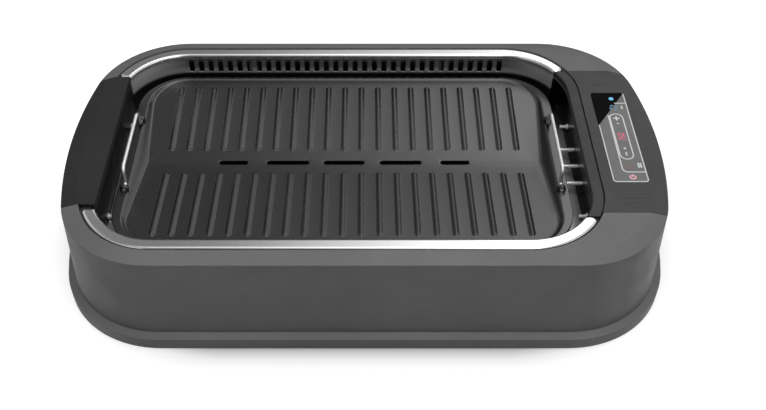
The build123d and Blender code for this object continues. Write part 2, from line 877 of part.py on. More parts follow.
def make_plate():
    """The cast plate: V floor, sloped ends, flat end flanges, ribs, slots, ears and feet."""
    over = plate_half_depth + cut_over
    flange_low_z = plate_top_z - flange_thick
    edge = plate_face(plate_half_width, plate_half_depth, plate_radius, flange_low_z)
    flange = extrude(edge, flange_thick)
    flange = fillet(flange.edges().group_by(Axis.Z)[-1], plate_edge_round)
    rim_x = plate_half_width - end_flange_width
    rim_y = plate_half_depth - edge_rim_width
    rim_radius = plate_radius - end_flange_width
    floor_x = rim_x - riser_run
    floor_y = rim_y - riser_run
    floor_radius = rim_radius - riser_run
    pocket = loft([plate_face(rim_x, rim_y, rim_radius, plate_top_z),
                   plate_face(floor_x, floor_y, floor_radius, plate_valley_z)], ruled=True)
    pocket += extrude(plate_face(rim_x, rim_y, rim_radius, plate_top_z), cut_over)
    pocket &= valley_prism(plate_valley_z, over, plate_top_z + cut_over)
    pan = loft([plate_face(rim_x, rim_y, rim_radius, flange_low_z),
                plate_face(floor_x, floor_y, floor_radius, plate_low_z)], ruled=True)
    pan &= valley_prism(plate_low_z, over, plate_top_z)
    plate = (flange + pan) - pocket
    first = -(rib_count - 1) / 2
    ribs = [rib(well_x + (first + n) * rib_pitch, side_y) for n in range(rib_count) for side_y in (-1, 1)]
    plate += ribs
    plate -= [drain_slot(place, length) for place, length in slot_places]
    plate += plate_feet()
    for side_x in (-1, 1):
        for side_y in (-1, 1):
            plate += bail_ear(side_x, side_y)
    for side_x in (-1, 1):
        x = well_x + side_x * bail_x
        plate -= rod_y(wire_radius + pivot_gap, -body_depth / 2, body_depth / 2, x, pivot_z)
    return plate


def drain_slot(place, length):
    """A round-ended slot through the valley of the plate."""
    outline = Pos(well_x + place, 0, plate_low_z - cut_over) * SlotOverall(length, slot_width)
    return extrude(outline, plate_top_z - plate_low_z + cut_over)


def plate_feet():
    """Four short feet under the rim that stand on the tub's flange."""
    feet = []
    high_z = plate_top_z - flange_thick
    outer_y = plate_half_depth - plate_edge_round
    for x in (well_x - plate_foot_x, well_x + plate_foot_x):
        for side_y in (-1, 1):
            ys = sorted((side_y * outer_y, side_y * (outer_y - plate_foot_width)))
            feet.append(span_box(x - plate_foot_length / 2, x + plate_foot_length / 2, ys[0], ys[1],
                                 tub_flange_top_z, high_z))
    return feet


def bail_ear(side_x, side_y):
    """A small upright ear on the end flange, bored for the bail's foot."""
    x = well_x + side_x * bail_x
    near_y = bail_pivot_y + ear_gap
    low_y, high_y = sorted((side_y * near_y, side_y * (near_y + ear_thick)))
    foot = span_box(x - ear_half_width, x + ear_half_width, low_y, high_y,
                    plate_top_z - flange_thick / 2, pivot_z)
    return foot + rod_y(ear_half_width, low_y, high_y, x, pivot_z)


def make_bail(side_x):
    """A wire handle that stands on the end flange, its feet turned out into the ears."""
    x = well_x + side_x * bail_x
    foot_y = bail_pivot_y + ear_gap + ear_thick
    points = [(x, -foot_y, pivot_z), (x, -bail_bar_half_length - wire_radius, pivot_z),
              (x, -bail_bar_half_length, bail_bar_z), (x, bail_bar_half_length, bail_bar_z),
              (x, bail_bar_half_length + wire_radius, pivot_z), (x, foot_y, pivot_z)]
    tight = wire_radius * 2
    path = FilletPolyline(points, radius=[tight, wire_bend, wire_bend, tight])
    section = (path ^ 0) * Circle(wire_radius)
    return sweep(section, path=path)


def dish(half_width, half_depth, radius, low_z, high_z, draw):
    """A drawn sheet dish about the middle of the well, without its lip."""
    outer = loft([plate_face(half_width - draw, half_depth - draw, radius - draw, low_z),
                  plate_face(half_width, half_depth, radius, high_z)], ruled=True)
    inner = loft([plate_face(half_width - draw - sheet, half_depth - draw - sheet, radius - draw - sheet,
                             low_z + sheet),
                  plate_face(half_width - sheet, half_depth - sheet, radius - sheet, high_z)], ruled=True)
    return outer - inner


def make_tub():
    """The sheet tub that shields the base, hung by its flange."""
    tub = dish(well_half_width - tub_inset, well_half_depth - tub_inset, well_radius - tub_inset,
               tub_floor_z, tub_flange_top_z, tub_draw)
    flange = well_ring(liner_inset - trim_gap, -tub_inset - sheet, tub_flange_low_z, tub_flange_top_z)
    tub += flange
    reach_low_x = left_wall_x + tub_flange_gap / 2
    reach_high_x = right_wall_x - tub_flange_gap
    return tub & span_box(reach_low_x, reach_high_x, -body_depth, body_depth, tub_floor_z, body_top_z)


def make_tray():
    """The drip tray: a drawn dish with a lip and a low ridge across its floor."""
    high_z = tray_low_z + tray_height
    tray = dish(tray_half_width, tray_half_depth, tray_radius, tray_low_z, high_z, tray_draw)
    lip = extrude(plate_face(tray_half_width + tray_lip, tray_half_depth + tray_lip,
                             tray_radius + tray_lip, high_z - sheet), sheet)
    lip -= extrude(plate_face(tray_half_width - sheet, tray_half_depth - sheet,
                              tray_radius - sheet, high_z - sheet), sheet)
    ridge_y = tray_half_depth - tray_draw - tray_radius / 2
    floor_z = tray_low_z + sheet
    ridge = span_box(well_x - tray_ridge_width / 2, well_x + tray_ridge_width / 2, -ridge_y, ridge_y,
                     floor_z - sheet / 2, floor_z + tray_ridge_high)
    ridge = chamfer(ridge.faces().sort_by(Axis.Z)[-1].edges(), tray_ridge_high - sheet / 2)
    return tray + lip + ridge


def make_heating_tube():
    """One bent tube: four long runs joined by wide turns, both ends in the terminal block."""
    end_x = block_low_x + block_length / 2
    half = [(end_x, pin_pitch), (right_turn_x, pin_pitch), (right_turn_x, outer_run_y),
            (left_turn_x, outer_run_y), (left_turn_x, inner_run_y), (inner_turn_x, inner_run_y)]
    points = [(x, y, tube_z) for x, y in half]
    points += [(x, -y, tube_z) for x, y in reversed(half)]
    turns = [lead_bend] + [tube_bend] * (len(points) - 4) + [lead_bend]
    path = FilletPolyline(points, radius=turns)
    section = (path ^ 0) * Circle(tube_radius)
    return sweep(section, path=path)


def make_terminal_block():
    """The ceramic block on the tube's ends, notched from below to drop over the pins."""
    low_z = tub_flange_top_z + block_seat_gap
    block = span_box(block_low_x, block_low_x + block_length, -block_half_depth, block_half_depth,
                     low_z, low_z + block_high)
    block = fillet(block.edges().filter_by(Axis.X).group_by(Axis.Z)[-1], notch_radius)
    for y in pin_places():
        block -= rod_x(notch_radius, block_low_x + block_length / 2, block_low_x + block_length, y, pin_z)
        block -= span_box(block_low_x + block_length / 2, block_low_x + block_length, y - notch_radius,
                          y + notch_radius, low_z, pin_z)
    block -= rod_x(probe_radius, block_low_x, block_low_x + block_length / 2, 0, probe_z)
    for y in (-pin_pitch, pin_pitch):
        block -= rod_x(tube_radius, block_low_x, block_low_x + block_length / 2, y, tube_z)
    return block


def make_probe():
    """The temperature probe: a round rod with a domed tip, under the plate's middle."""
    high_x = block_low_x + block_length / 2
    probe = rod_x(probe_radius, high_x - probe_length, high_x, 0, probe_z)
    tip_edge = probe.edges().filter_by(GeomType.CIRCLE).sort_by(Axis.X)[0]
    return fillet(tip_edge, probe_radius * probe_tip_share)


def make_brackets():
    """Flat straps under the tubes, cranked up at the ends onto the tub's flange."""
    straps = []
    reach_y = well_half_depth - tub_inset + bracket_foot
    inner_y = reach_y - 2 * bracket_foot
    high_z = tube_z - tube_radius
    foot_z = tub_flange_top_z + bracket_sheet
    for x in (well_x - bracket_step, well_x + bracket_step):
        low_x = x - bracket_width / 2
        high_x = x + bracket_width / 2
        strap = span_box(low_x, high_x, -inner_y, inner_y, high_z - bracket_sheet, high_z)
        for side_y in (-1, 1):
            post = sorted((side_y * inner_y, side_y * (inner_y - bracket_sheet)))
            foot = sorted((side_y * reach_y, side_y * (inner_y - bracket_sheet)))
            strap += span_box(low_x, high_x, post[0], post[1], high_z - bracket_sheet, foot_z)
            strap += span_box(low_x, high_x, foot[0], foot[1], tub_flange_top_z, foot_z)
        straps.append(strap)
    return straps


def make_casing():
    """The fan's casing: a round wall with an inlet eye above and a duct to the back wall."""
    high_z = pan_floor_z + casing_high
    duct_y = half_body_depth + wall_flare - housing_wall - casing_duct_end_gap
    half = casing_duct_half_width
    outer = rod(casing_radius, pan_floor_z, high_z, well_x, fan_y)
    outer += span_box(well_x - half, well_x + half, fan_y, duct_y, pan_floor_z, high_z)
    inner = rod(casing_radius - casing_wall, pan_floor_z, high_z - casing_wall, well_x, fan_y)
    inner += span_box(well_x - half + casing_wall, well_x + half - casing_wall, fan_y, duct_y,
                      pan_floor_z, high_z - casing_wall)
    casing = outer - inner
    casing -= rod(casing_eye_radius, high_z - casing_wall, high_z, well_x, fan_y)
    outer_x = well_x + casing_radius
    inner_x = outer_x - 2 * casing_wall
    room = lead_radius + seam
    casing -= rod_x(room, inner_x, outer_x, fan_y, fan_lead_z())
    return casing - span_box(inner_x, outer_x, fan_y - room, fan_y + room, pan_floor_z, fan_lead_z())


def fan_lead_z():
    return pan_floor_z + lead_radius + seam


def make_motor():
    """The fan motor: a flat can on the floor, bored for the shaft."""
    high_z = pan_floor_z + motor_high
    can = rod(motor_radius, pan_floor_z, high_z, well_x, fan_y)
    can = fillet(can.edges().sort_by(Axis.Z)[-1], bush_high / 2)
    return can - rod(bush_radius, high_z - bush_high, high_z, well_x, fan_y) - rod(
        shaft_radius + shaft_gap, pan_floor_z + bush_high, high_z, well_x, fan_y)


def make_bush():
    """The motor's upper bearing bush."""
    high_z = pan_floor_z + motor_high
    bush = rod(bush_radius, high_z - bush_high, high_z, well_x, fan_y)
    return bush - rod(shaft_radius + shaft_gap, high_z - bush_high, high_z, well_x, fan_y)


def make_shaft():
    high_z = pan_floor_z + impeller_rise + impeller_high
    return rod(shaft_radius, pan_floor_z + bush_high + seam, high_z, well_x, fan_y)


def make_impeller():
    """The fan wheel: hub cup over the motor, disc, leaning blades and a stiffening ring."""
    low_z = pan_floor_z + impeller_rise
    high_z = low_z + impeller_high
    wheel = rod(impeller_radius, low_z, low_z + impeller_disc) + rod(hub_radius, low_z, high_z)
    blade_length = impeller_radius - hub_radius
    blade = span_box(0, blade_length, -blade_thick / 2, blade_thick / 2, low_z, high_z)
    blade = Pos(hub_radius - blade_thick, 0, 0) * Rot(0, 0, -blade_lean) * blade
    reach = rod(impeller_radius, low_z, high_z)
    blades = [Rot(0, 0, n * 360 / blade_count) * blade for n in range(blade_count)]
    wheel = (wheel + blades) & reach
    ring = rod(impeller_radius, high_z - impeller_disc, high_z)
    wheel += ring - rod(impeller_radius - impeller_ring_width, high_z - impeller_disc, high_z)
    wheel -= rod(hub_radius - hub_wall, low_z, high_z - hub_wall)
    wheel -= rod(shaft_radius, low_z, high_z)
    return Pos(well_x, fan_y, 0) * wheel


def make_power_board():
    board = span_box(board_low_x, board_high_x, board_low_y, board_high_y, board_z, board_top_z)
    for x, y in board_post_places():
        board -= rod(board_screw_radius, board_z, board_top_z, x, y)
    return board


def board_place(place):
    """A place on the power board, given from its front left corner."""
    return board_low_x + place[0], board_low_y + place[1]


def on_board(size, place):
    """A block of a given size that stands on the power board."""
    width, depth, height = size
    x, y = board_place(place)
    return span_box(x - width / 2, x + width / 2, y - depth / 2, y + depth / 2,
                    board_top_z, board_top_z + height)


def make_relay():
    block = on_board(relay_size, relay_place)
    return fillet(block.edges().filter_by(Axis.Z), board_thick / 2)


def make_transformer():
    """The transformer: a laminated core with its winding block."""
    width, depth, height = transformer_size
    core = on_board((width / 2, depth, height), transformer_place)
    low_z = board_top_z + height / 4
    x, y = board_place(transformer_place)
    winding = span_box(x - width / 2, x + width / 2, y - depth / 3, y + depth / 3,
                       low_z, low_z + height / 2)
    return core + fillet(winding.edges().filter_by(Axis.Z), board_thick)


def make_capacitors():
    cans = []
    for (radius, height), place in zip(capacitor_sizes, capacitor_places):
        x, y = board_place(place)
        can = rod(radius, board_top_z, board_top_z + height, x, y)
        cans.append(fillet(can.edges().sort_by(Axis.Z)[-1], board_thick / 2))
    return cans


def make_fuse():
    """The fuse: a small tube along Y, lying on the board."""
    x, y = board_place(fuse_place)
    return rod_y(fuse_radius, y - fuse_length / 2, y + fuse_length / 2, x, board_top_z + fuse_radius)


def make_ribbon():
    """The flat lead from the power board up to the touch board."""
    x, y = board_place(ribbon_place)
    return span_box(x, x + ribbon_thick, y - ribbon_width / 2, y + ribbon_width / 2, board_top_z,
                    touch_board_top_z - board_thick)


def bent_lead(points, radius, bend):
    """A round lead along straight runs joined by arcs."""
    path = FilletPolyline(points, radius=bend)
    return sweep((path ^ 0) * Circle(radius), path=path)


def make_heater_leads():
    """Three leads from the back of the socket down to the power board."""
    back_x = right_wall_x + end_wall_thick + socket_length
    return [bent_lead([(back_x, y, pin_z), (back_x + lead_run, y, pin_z),
                       (back_x + lead_run, y, board_top_z)], lead_radius, lead_turn)
            for y in pin_places()]


def make_fan_lead():
    """The lead from the motor, out of the casing, along the floor to the board's edge."""
    return rod_x(lead_radius, well_x + motor_radius, board_low_x, fan_y, fan_lead_z())


def inlet_block(shrink):
    """The body of the power inlet, as a block through the back wall."""
    outer_y = wall_y_at(inlet_z) + inlet_flange_thick
    return span_box(inlet_x - inlet_width / 2 + shrink, inlet_x + inlet_width / 2 - shrink,
                    outer_y - inlet_depth, outer_y,
                    inlet_z - inlet_height / 2 + shrink, inlet_z + inlet_height / 2 - shrink)


def wall_y_at(z):
    """How far back the outer wall stands at a height."""
    share = (wall_top_z - z) / (wall_top_z - wall_base_z)
    return half_body_depth + wall_flare * share


def make_inlet():
    """The power inlet: a socket body with a flange against the back wall."""
    outer_y = wall_y_at(inlet_z) + inlet_flange_thick
    body = inlet_block(seam / 2)
    wide = inlet_width / 2 + inlet_flange
    tall = inlet_height / 2 + inlet_flange
    slack = wall_y_at(inlet_z - tall) - wall_y_at(inlet_z)
    flange = span_box(inlet_x - wide, inlet_x + wide, outer_y - inlet_flange_thick + slack, outer_y,
                      inlet_z - tall, inlet_z + tall)
    flange = fillet(flange.edges().filter_by(Axis.Y), inlet_flange)
    body += flange
    recess = span_box(inlet_x - inlet_width / 2 + inlet_wall, inlet_x + inlet_width / 2 - inlet_wall,
                      outer_y - inlet_depth + inlet_back, outer_y,
                      inlet_z - inlet_height / 2 + inlet_wall, inlet_z + inlet_height / 2 - inlet_wall)
    body -= fillet(recess.edges().filter_by(Axis.Y).group_by(Axis.Z)[-1], inlet_wall)
    for pin in blade_pins():
        body -= pin
    return body


def blade_pins():
    """Three upright blades on the floor of the inlet's recess, with tails behind."""
    floor_y = wall_y_at(inlet_z) + inlet_flange_thick - inlet_depth + inlet_back
    low_y = floor_y - inlet_back - blade_pin_tail
    high_y = floor_y + blade_pin_reach
    pins = []
    for x, lift in ((-blade_pin_pitch, -1), (0, 1), (blade_pin_pitch, -1)):
        z = inlet_z + lift * blade_pin_width / 2
        pins.append(span_box(inlet_x + x - blade_pin_thick / 2, inlet_x + x + blade_pin_thick / 2,
                             low_y, high_y, z - blade_pin_width / 2, z + blade_pin_width / 2))
    return pins


def make_supply_leads():
    """Two leads from the inlet's tails to the power board."""
    start_y = blade_pins()[0].bounding_box().min.Y
    end_y = board_high_y - supply_end_inset
    leads = []
    for side in (-1, 1):
        x = inlet_x + side * blade_pin_pitch
        z = inlet_z - blade_pin_width / 2
        end_x = (board_low_x + board_high_x) / 2 + side * supply_spread
        knee_y = start_y - 2 * lead_run
        points = [(x, start_y, z), (x, knee_y, z), (end_x, end_y, z), (end_x, end_y, board_top_z)]
        leads.append(bent_lead(points, supply_radius, lead_turn))
    return leads


pieces = {
    "outer_housing": make_outer_housing,
    "base_pan": make_base_pan,
    "rubber_feet": make_feet,
    "base_screws": make_base_screws,
    "bezel_ring": make_bezel_ring,
    "front_rail": lambda: make_rail(-1),
    "rear_rail": lambda: make_rail(1),
    "front_liner": lambda: make_liner(-1),
    "rear_liner": lambda: make_liner(1),
    "left_side_wall": make_left_wall,
    "right_side_wall": make_right_wall,
    "support_studs": make_studs,
    "contact_pins": make_contact_pins,
    "terminal_socket": make_socket,
    "left_handle_panel": make_left_panel,
    "right_control_panel": make_right_panel,
    "left_grip_cup": lambda: make_grip(-1),
    "right_grip_cup": lambda: make_grip(1),
    "control_label": make_label,
    "touch_board": make_touch_board,
    "led_display": make_display,
    "indicator_lamps": make_lamps,
    "board_screws": make_board_screws,
    "grill_plate": make_plate,
    "left_bail": lambda: make_bail(-1),
    "right_bail": lambda: make_bail(1),
    "heat_tub": make_tub,
    "drip_tray": make_tray,
    "heating_tube": make_heating_tube,
    "heater_terminal_block": make_terminal_block,
    "temperature_probe": make_probe,
    "heater_brackets": make_brackets,
    "fan_casing": make_casing,
    "fan_motor": make_motor,
    "motor_bush": make_bush,
    "fan_shaft": make_shaft,
    "fan_impeller": make_impeller,
    "power_board": make_power_board,
    "relay": make_relay,
    "transformer": make_transformer,
    "capacitors": make_capacitors,
    "fuse": make_fuse,
    "ribbon_lead": make_ribbon,
    "heater_leads": make_heater_leads,
    "fan_lead": make_fan_lead,
    "power_inlet": make_inlet,
    "inlet_blades": blade_pins,
    "supply_leads": make_supply_leads,
}

os.makedirs("parts", exist_ok=True)
for node, make in pieces.items():
    made = make()
    shapes = made if isinstance(made, list) else [made]
    solids = [solid for shape in shapes for solid in shape.solids()]
    export_step(solids[0] if len(solids) == 1 else Compound(solids), f"parts/{node}.step")
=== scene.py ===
import math

import bmesh
import bpy
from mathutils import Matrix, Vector
from mathutils.geometry import delaunay_2d_cdt


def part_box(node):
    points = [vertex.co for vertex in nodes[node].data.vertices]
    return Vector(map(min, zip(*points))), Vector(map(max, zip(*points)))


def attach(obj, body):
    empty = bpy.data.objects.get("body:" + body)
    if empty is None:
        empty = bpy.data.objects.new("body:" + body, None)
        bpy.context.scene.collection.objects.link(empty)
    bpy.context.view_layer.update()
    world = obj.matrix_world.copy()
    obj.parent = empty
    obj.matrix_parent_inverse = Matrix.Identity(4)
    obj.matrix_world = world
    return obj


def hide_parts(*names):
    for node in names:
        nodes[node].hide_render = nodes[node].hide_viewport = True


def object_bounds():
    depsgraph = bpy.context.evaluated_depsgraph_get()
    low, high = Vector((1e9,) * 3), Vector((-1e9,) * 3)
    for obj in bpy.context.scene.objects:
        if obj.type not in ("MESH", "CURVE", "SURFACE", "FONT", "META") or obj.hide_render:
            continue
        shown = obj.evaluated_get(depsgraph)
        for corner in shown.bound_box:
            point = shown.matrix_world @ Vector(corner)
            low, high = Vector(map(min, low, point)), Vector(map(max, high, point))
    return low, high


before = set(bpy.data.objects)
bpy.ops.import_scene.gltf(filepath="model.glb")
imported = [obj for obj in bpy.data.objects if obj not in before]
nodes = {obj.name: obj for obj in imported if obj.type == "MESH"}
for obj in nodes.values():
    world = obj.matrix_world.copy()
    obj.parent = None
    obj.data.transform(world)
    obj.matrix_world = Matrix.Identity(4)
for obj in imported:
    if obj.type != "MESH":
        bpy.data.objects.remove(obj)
cad_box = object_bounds()
mm = 0.001
quarter = math.pi / 2
white = (1.0, 1.0, 1.0)


# Short calls for shader nodes
def feed(tree, value, socket):
    """Gives a socket its value: another node's output, a colour as a tuple, or a number."""
    if isinstance(value, bpy.types.NodeSocket):
        tree.links.new(value, socket)
    elif isinstance(value, tuple):
        socket.default_value = value + (1.0,)
    else:
        socket.default_value = value


def combine(tree, operation, first, second=0.0):
    """The value of a maths node. Each side is a number or another node's output."""
    node = tree.nodes.new("ShaderNodeMath")
    node.operation = operation
    for value, socket in zip((first, second), node.inputs):
        feed(tree, value, socket)
    return node.outputs["Value"]


def ramp(tree, source, stops):
    """A level that follows a value smoothly through its stops."""
    low, high = stops[0][0], stops[-1][0]
    peak = max(level for _, level in stops)
    scaled = tree.nodes.new("ShaderNodeMapRange")
    scaled.inputs["From Min"].default_value = low
    scaled.inputs["From Max"].default_value = high
    tree.links.new(source, scaled.inputs["Value"])
    node = tree.nodes.new("ShaderNodeFloatCurve")
    curve = node.mapping.curves[0]
    points = [((place - low) / (high - low), level / peak) for place, level in stops]
    curve.points[0].location = points[0]
    curve.points[1].location = points[-1]
    for point in points[1:-1]:
        curve.points.new(*point)
    node.mapping.update()
    tree.links.new(scaled.outputs["Result"], node.inputs["Value"])
    return combine(tree, "MULTIPLY", node.outputs["Value"], peak)


def white_background(tree, strength):
    """White light of a strength, which is a number or another node's output."""
    node = tree.nodes.new("ShaderNodeBackground")
    feed(tree, white, node.inputs["Color"])
    feed(tree, strength, node.inputs["Strength"])
    return node.outputs["Background"]


def mix_shaders(tree, share, first, second):
    node = tree.nodes.new("ShaderNodeMixShader")
    for source, socket in zip((share, first, second), node.inputs):
        tree.links.new(source, socket)
    return node.outputs["Shader"]


# Between these two values lies most of a noise
noise_low = 0.35
noise_high = 0.65
# A surface counts as an edge where its rounded normal leans this much from its own
edge_lean_low = 0.02
edge_lean_high = 0.25
bevel_samples = 4
# A mix node's colour sockets, whose names its other kinds of data share
mix_colour_inputs = (6, 7)
mix_colour_output = 2


class Shader:
    """A material's node tree, with short calls for the nodes used here."""

    def __init__(self, name):
        self.material = bpy.data.materials.new(name)
        self.material.use_nodes = True
        self.tree = self.material.node_tree
        self.tree.nodes.clear()
        self.output = self.tree.nodes.new("ShaderNodeOutputMaterial")
        self.coords = self.tree.nodes.new("ShaderNodeTexCoord").outputs["Object"]

    def link(self, source, target):
        self.tree.links.new(source, target)

    def axes(self):
        """The place on the surface, along each axis."""
        node = self.tree.nodes.new("ShaderNodeSeparateXYZ")
        self.link(self.coords, node.inputs["Vector"])
        return node.outputs

    def noise(self, scale, detail=3.0, stretch=(1.0, 1.0, 1.0)):
        mapping = self.tree.nodes.new("ShaderNodeMapping")
        mapping.inputs["Scale"].default_value = stretch
        self.link(self.coords, mapping.inputs["Vector"])
        node = self.tree.nodes.new("ShaderNodeTexNoise")
        node.inputs["Scale"].default_value = scale
        node.inputs["Detail"].default_value = detail
        self.link(mapping.outputs["Vector"], node.inputs["Vector"])
        return node.outputs["Fac"]

    def spread(self, source, low, high, from_low=noise_low, from_high=noise_high):
        """A value moved from its own range to another."""
        node = self.tree.nodes.new("ShaderNodeMapRange")
        node.inputs["From Min"].default_value = from_low
        node.inputs["From Max"].default_value = from_high
        node.inputs["To Min"].default_value = low
        node.inputs["To Max"].default_value = high
        self.link(source, node.inputs["Value"])
        return node.outputs["Result"]

    def mix(self, factor, first, second):
        """A blend of two colours, which are tuples or other nodes' outputs."""
        node = self.tree.nodes.new("ShaderNodeMix")
        node.data_type = "RGBA"
        self.link(factor, node.inputs["Factor"])
        for colour, place in zip((first, second), mix_colour_inputs):
            feed(self.tree, colour, node.inputs[place])
        return node.outputs[mix_colour_output]

    def clouded(self, source, colour, low, high):
        """A colour that varies between two shades with a noise."""
        return self.mix(self.spread(source, 0.0, 1.0), shade(colour, low), shade(colour, high))

    def rounded(self, radius):
        """The normal of the surface with its edges rounded."""
        bevel = self.tree.nodes.new("ShaderNodeBevel")
        bevel.samples = bevel_samples
        bevel.inputs["Radius"].default_value = radius
        return bevel.outputs["Normal"]

    def rubbed(self, tone, radius, wear, worn_colour):
        """A tone that nears another where the surface turns within a small radius."""
        dot = self.tree.nodes.new("ShaderNodeVectorMath")
        dot.operation = "DOT_PRODUCT"
        self.link(self.rounded(radius), dot.inputs[0])
        self.link(self.tree.nodes.new("ShaderNodeNewGeometry").outputs["Normal"], dot.inputs[1])
        edge = self.spread(dot.outputs["Value"], 1.0, 0.0, 1.0 - edge_lean_high, 1.0 - edge_lean_low)
        return self.mix(combine(self.tree, "MULTIPLY", edge, wear), tone, worn_colour)

    def bump(self, height, strength, distance, normal):
        node = self.tree.nodes.new("ShaderNodeBump")
        node.inputs["Strength"].default_value = strength
        node.inputs["Distance"].default_value = distance
        self.link(height, node.inputs["Height"])
        self.link(normal, node.inputs["Normal"])
        return node.outputs["Normal"]

    def principled(self, **values):
        node = self.tree.nodes.new("ShaderNodeBsdfPrincipled")
        for name, value in values.items():
            feed(self.tree, value, node.inputs[name.replace("_", " ")])
        self.link(node.outputs["BSDF"], self.output.inputs["Surface"])
        return node


def shade(colour, factor):
    return tuple(c * factor for c in colour)


# Finishes: noise scales per metre, radii and depths in metres
small_round = 0.0003
usual_round = 0.0004

moulded_cloud_scale = 9.0
moulded_speckle_scale = 1500.0
moulded_speckle = 0.35
moulded_smear_scale = 60.0
moulded_grain_scale = 2600.0
moulded_grain = 0.35
moulded_grain_depth = 0.00004
moulded_variation = 0.10
moulded_smoother = 0.05
moulded_rougher = 0.06
moulded_wear_reach = 1.5
moulded_speckle_tone = 1.35
moulded_worn_tone = 2.6


def moulded(name, colour, roughness=0.5, specular=0.4, round_edge=usual_round, wear=0.12):
    """Injection-moulded plastic: fine spark grain, faint cloudiness, lighter rubbed edges."""
    paint = Shader(name)
    clouds = paint.noise(moulded_cloud_scale, detail=4.0)
    tone = paint.clouded(clouds, colour, 1.0 - moulded_variation, 1.0 + moulded_variation)
    speckle = paint.spread(paint.noise(moulded_speckle_scale, detail=2.0), 0.0, moulded_speckle)
    tone = paint.mix(speckle, tone, shade(colour, moulded_speckle_tone))
    tone = paint.rubbed(tone, round_edge * moulded_wear_reach, wear, shade(colour, moulded_worn_tone))
    smears = paint.noise(moulded_smear_scale, detail=5.0)
    rough = paint.spread(smears, roughness - moulded_smoother, roughness + moulded_rougher)
    grain = paint.noise(moulded_grain_scale, detail=2.0)
    normal = paint.bump(grain, moulded_grain, moulded_grain_depth, paint.rounded(round_edge))
    paint.principled(Base_Color=tone, Roughness=rough, Specular_IOR_Level=specular, Normal=normal)
    return paint.material


coat_cloud_scale = 14.0
coat_speckle_scale = 1900.0
coat_speckle = 0.4
coat_smear_scale = 900.0
coat_peel_scale = 1400.0
coat_peel_depth = 0.00006
coat_speckle_tone = 2.2
coat_worn_tone = 1.8
coat_wear = 0.3
coat_wear_reach = 2.0


def coated(name, colour, roughness=0.35, specular=0.5, peel=0.5, cloud=0.15):
    """Sheet or casting with a sprayed coat: orange-peel bump, speckle, thinner coat on edges."""
    paint = Shader(name)
    tone = paint.clouded(paint.noise(coat_cloud_scale, detail=5.0), colour, 1.0 - cloud, 1.0 + cloud)
    dots = paint.noise(coat_speckle_scale, detail=2.0)
    speckle = paint.spread(dots, 0.0, coat_speckle, from_low=0.5, from_high=0.75)
    tone = paint.mix(speckle, tone, shade(colour, coat_speckle_tone))
    tone = paint.rubbed(tone, usual_round * coat_wear_reach, coat_wear, shade(colour, coat_worn_tone))
    smears = paint.noise(coat_smear_scale, detail=4.0)
    rough = paint.spread(smears, roughness - cloud / 3, roughness + cloud / 2)
    orange_peel = paint.noise(coat_peel_scale)
    normal = paint.bump(orange_peel, peel, coat_peel_depth, paint.rounded(usual_round))
    paint.principled(Base_Color=tone, Roughness=rough, Specular_IOR_Level=specular, Normal=normal)
    return paint.material


drawn_line_scale = 300.0
drawn_line_depth = 0.00002
polish_smear_scale = 25.0
least_roughness = 0.02


def metal(name, colour, roughness=0.2, metallic=1.0, brush=(1.0, 1.0, 1.0), streak=0.06, grain=0.1,
          round_edge=small_round, tone_low=0.9, tone_high=1.05):
    """Bare metal: fine drawn lines along the piece, slight smears in the polish."""
    paint = Shader(name)
    lines = paint.noise(drawn_line_scale, detail=4.0, stretch=brush)
    tone = paint.clouded(lines, colour, tone_low, tone_high)
    smears = paint.noise(polish_smear_scale, detail=5.0)
    rough = paint.spread(smears, max(roughness - streak, least_roughness), roughness + streak)
    normal = paint.bump(lines, grain, drawn_line_depth, paint.rounded(round_edge))
    paint.principled(Base_Color=tone, Metallic=metallic, Roughness=rough, Normal=normal)
    return paint.material


# Painted light on the liner, in metres: a near-black painted shadow below the air slots, painted shade among
# them above their feet, and its two ends left bright
liner_dark_z = 0.0745
liner_light_z = 0.0775
liner_foot_z = 0.0790
liner_shade_full_z = 0.0830
liner_middle_x = -0.0185
liner_dark_reach = 0.150
liner_light_reach = 0.188
liner_line_scale = 220.0
liner_lines_upright = (1.0, 1.0, 14.0)
liner_grain = 0.05
liner_line_tones = (0.94, 1.04)
liner_smoother = 0.03
liner_rougher = 0.05
liner_painted_shade_tone = 0.31
liner_painted_shadow_tone = 0.02


def sheet_with_painted_light(name, colour, roughness, metallic):
    """Steel sheet with painted light: bright at its two ends, painted shade among its air slots and a painted
    shadow below them.
    """
    paint = Shader(name)
    lines = paint.noise(liner_line_scale, detail=4.0, stretch=liner_lines_upright)
    tone = paint.clouded(lines, colour, *liner_line_tones)
    place = paint.axes()
    off_middle = combine(paint.tree, "SUBTRACT", place["X"], liner_middle_x)
    off_middle = combine(paint.tree, "ABSOLUTE", off_middle)
    among_slots = paint.spread(off_middle, 1.0, 0.0, liner_dark_reach, liner_light_reach)
    raised = paint.spread(place["Z"], 0.0, 1.0, liner_foot_z, liner_shade_full_z)
    painted_shade_mask = combine(paint.tree, "MULTIPLY", among_slots, raised)
    # Painted shade among the slots, above their feet
    tone = paint.mix(painted_shade_mask, tone, shade(colour, liner_painted_shade_tone))
    above_painted_shadow = paint.spread(place["Z"], 0.0, 1.0, liner_dark_z, liner_light_z)
    # Painted shadow, near black, below the air slots
    tone = paint.mix(above_painted_shadow, shade(colour, liner_painted_shadow_tone), tone)
    smears = paint.noise(polish_smear_scale, detail=5.0)
    rough = paint.spread(smears, roughness - liner_smoother, roughness + liner_rougher)
    normal = paint.bump(lines, liner_grain, drawn_line_depth, paint.rounded(small_round))
    paint.principled(Base_Color=tone, Metallic=metallic, Roughness=rough, Normal=normal)
    return paint.material


skin_cloud_scale = 20.0
skin_dust_scale = 900.0
skin_ripple_scale = 120.0
skin_ripple = 0.15
skin_ripple_depth = 0.00003
skin_variation = 0.1
skin_clean = 0.8
skin_dusty = 1.5
skin_coat_roughness = 0.05


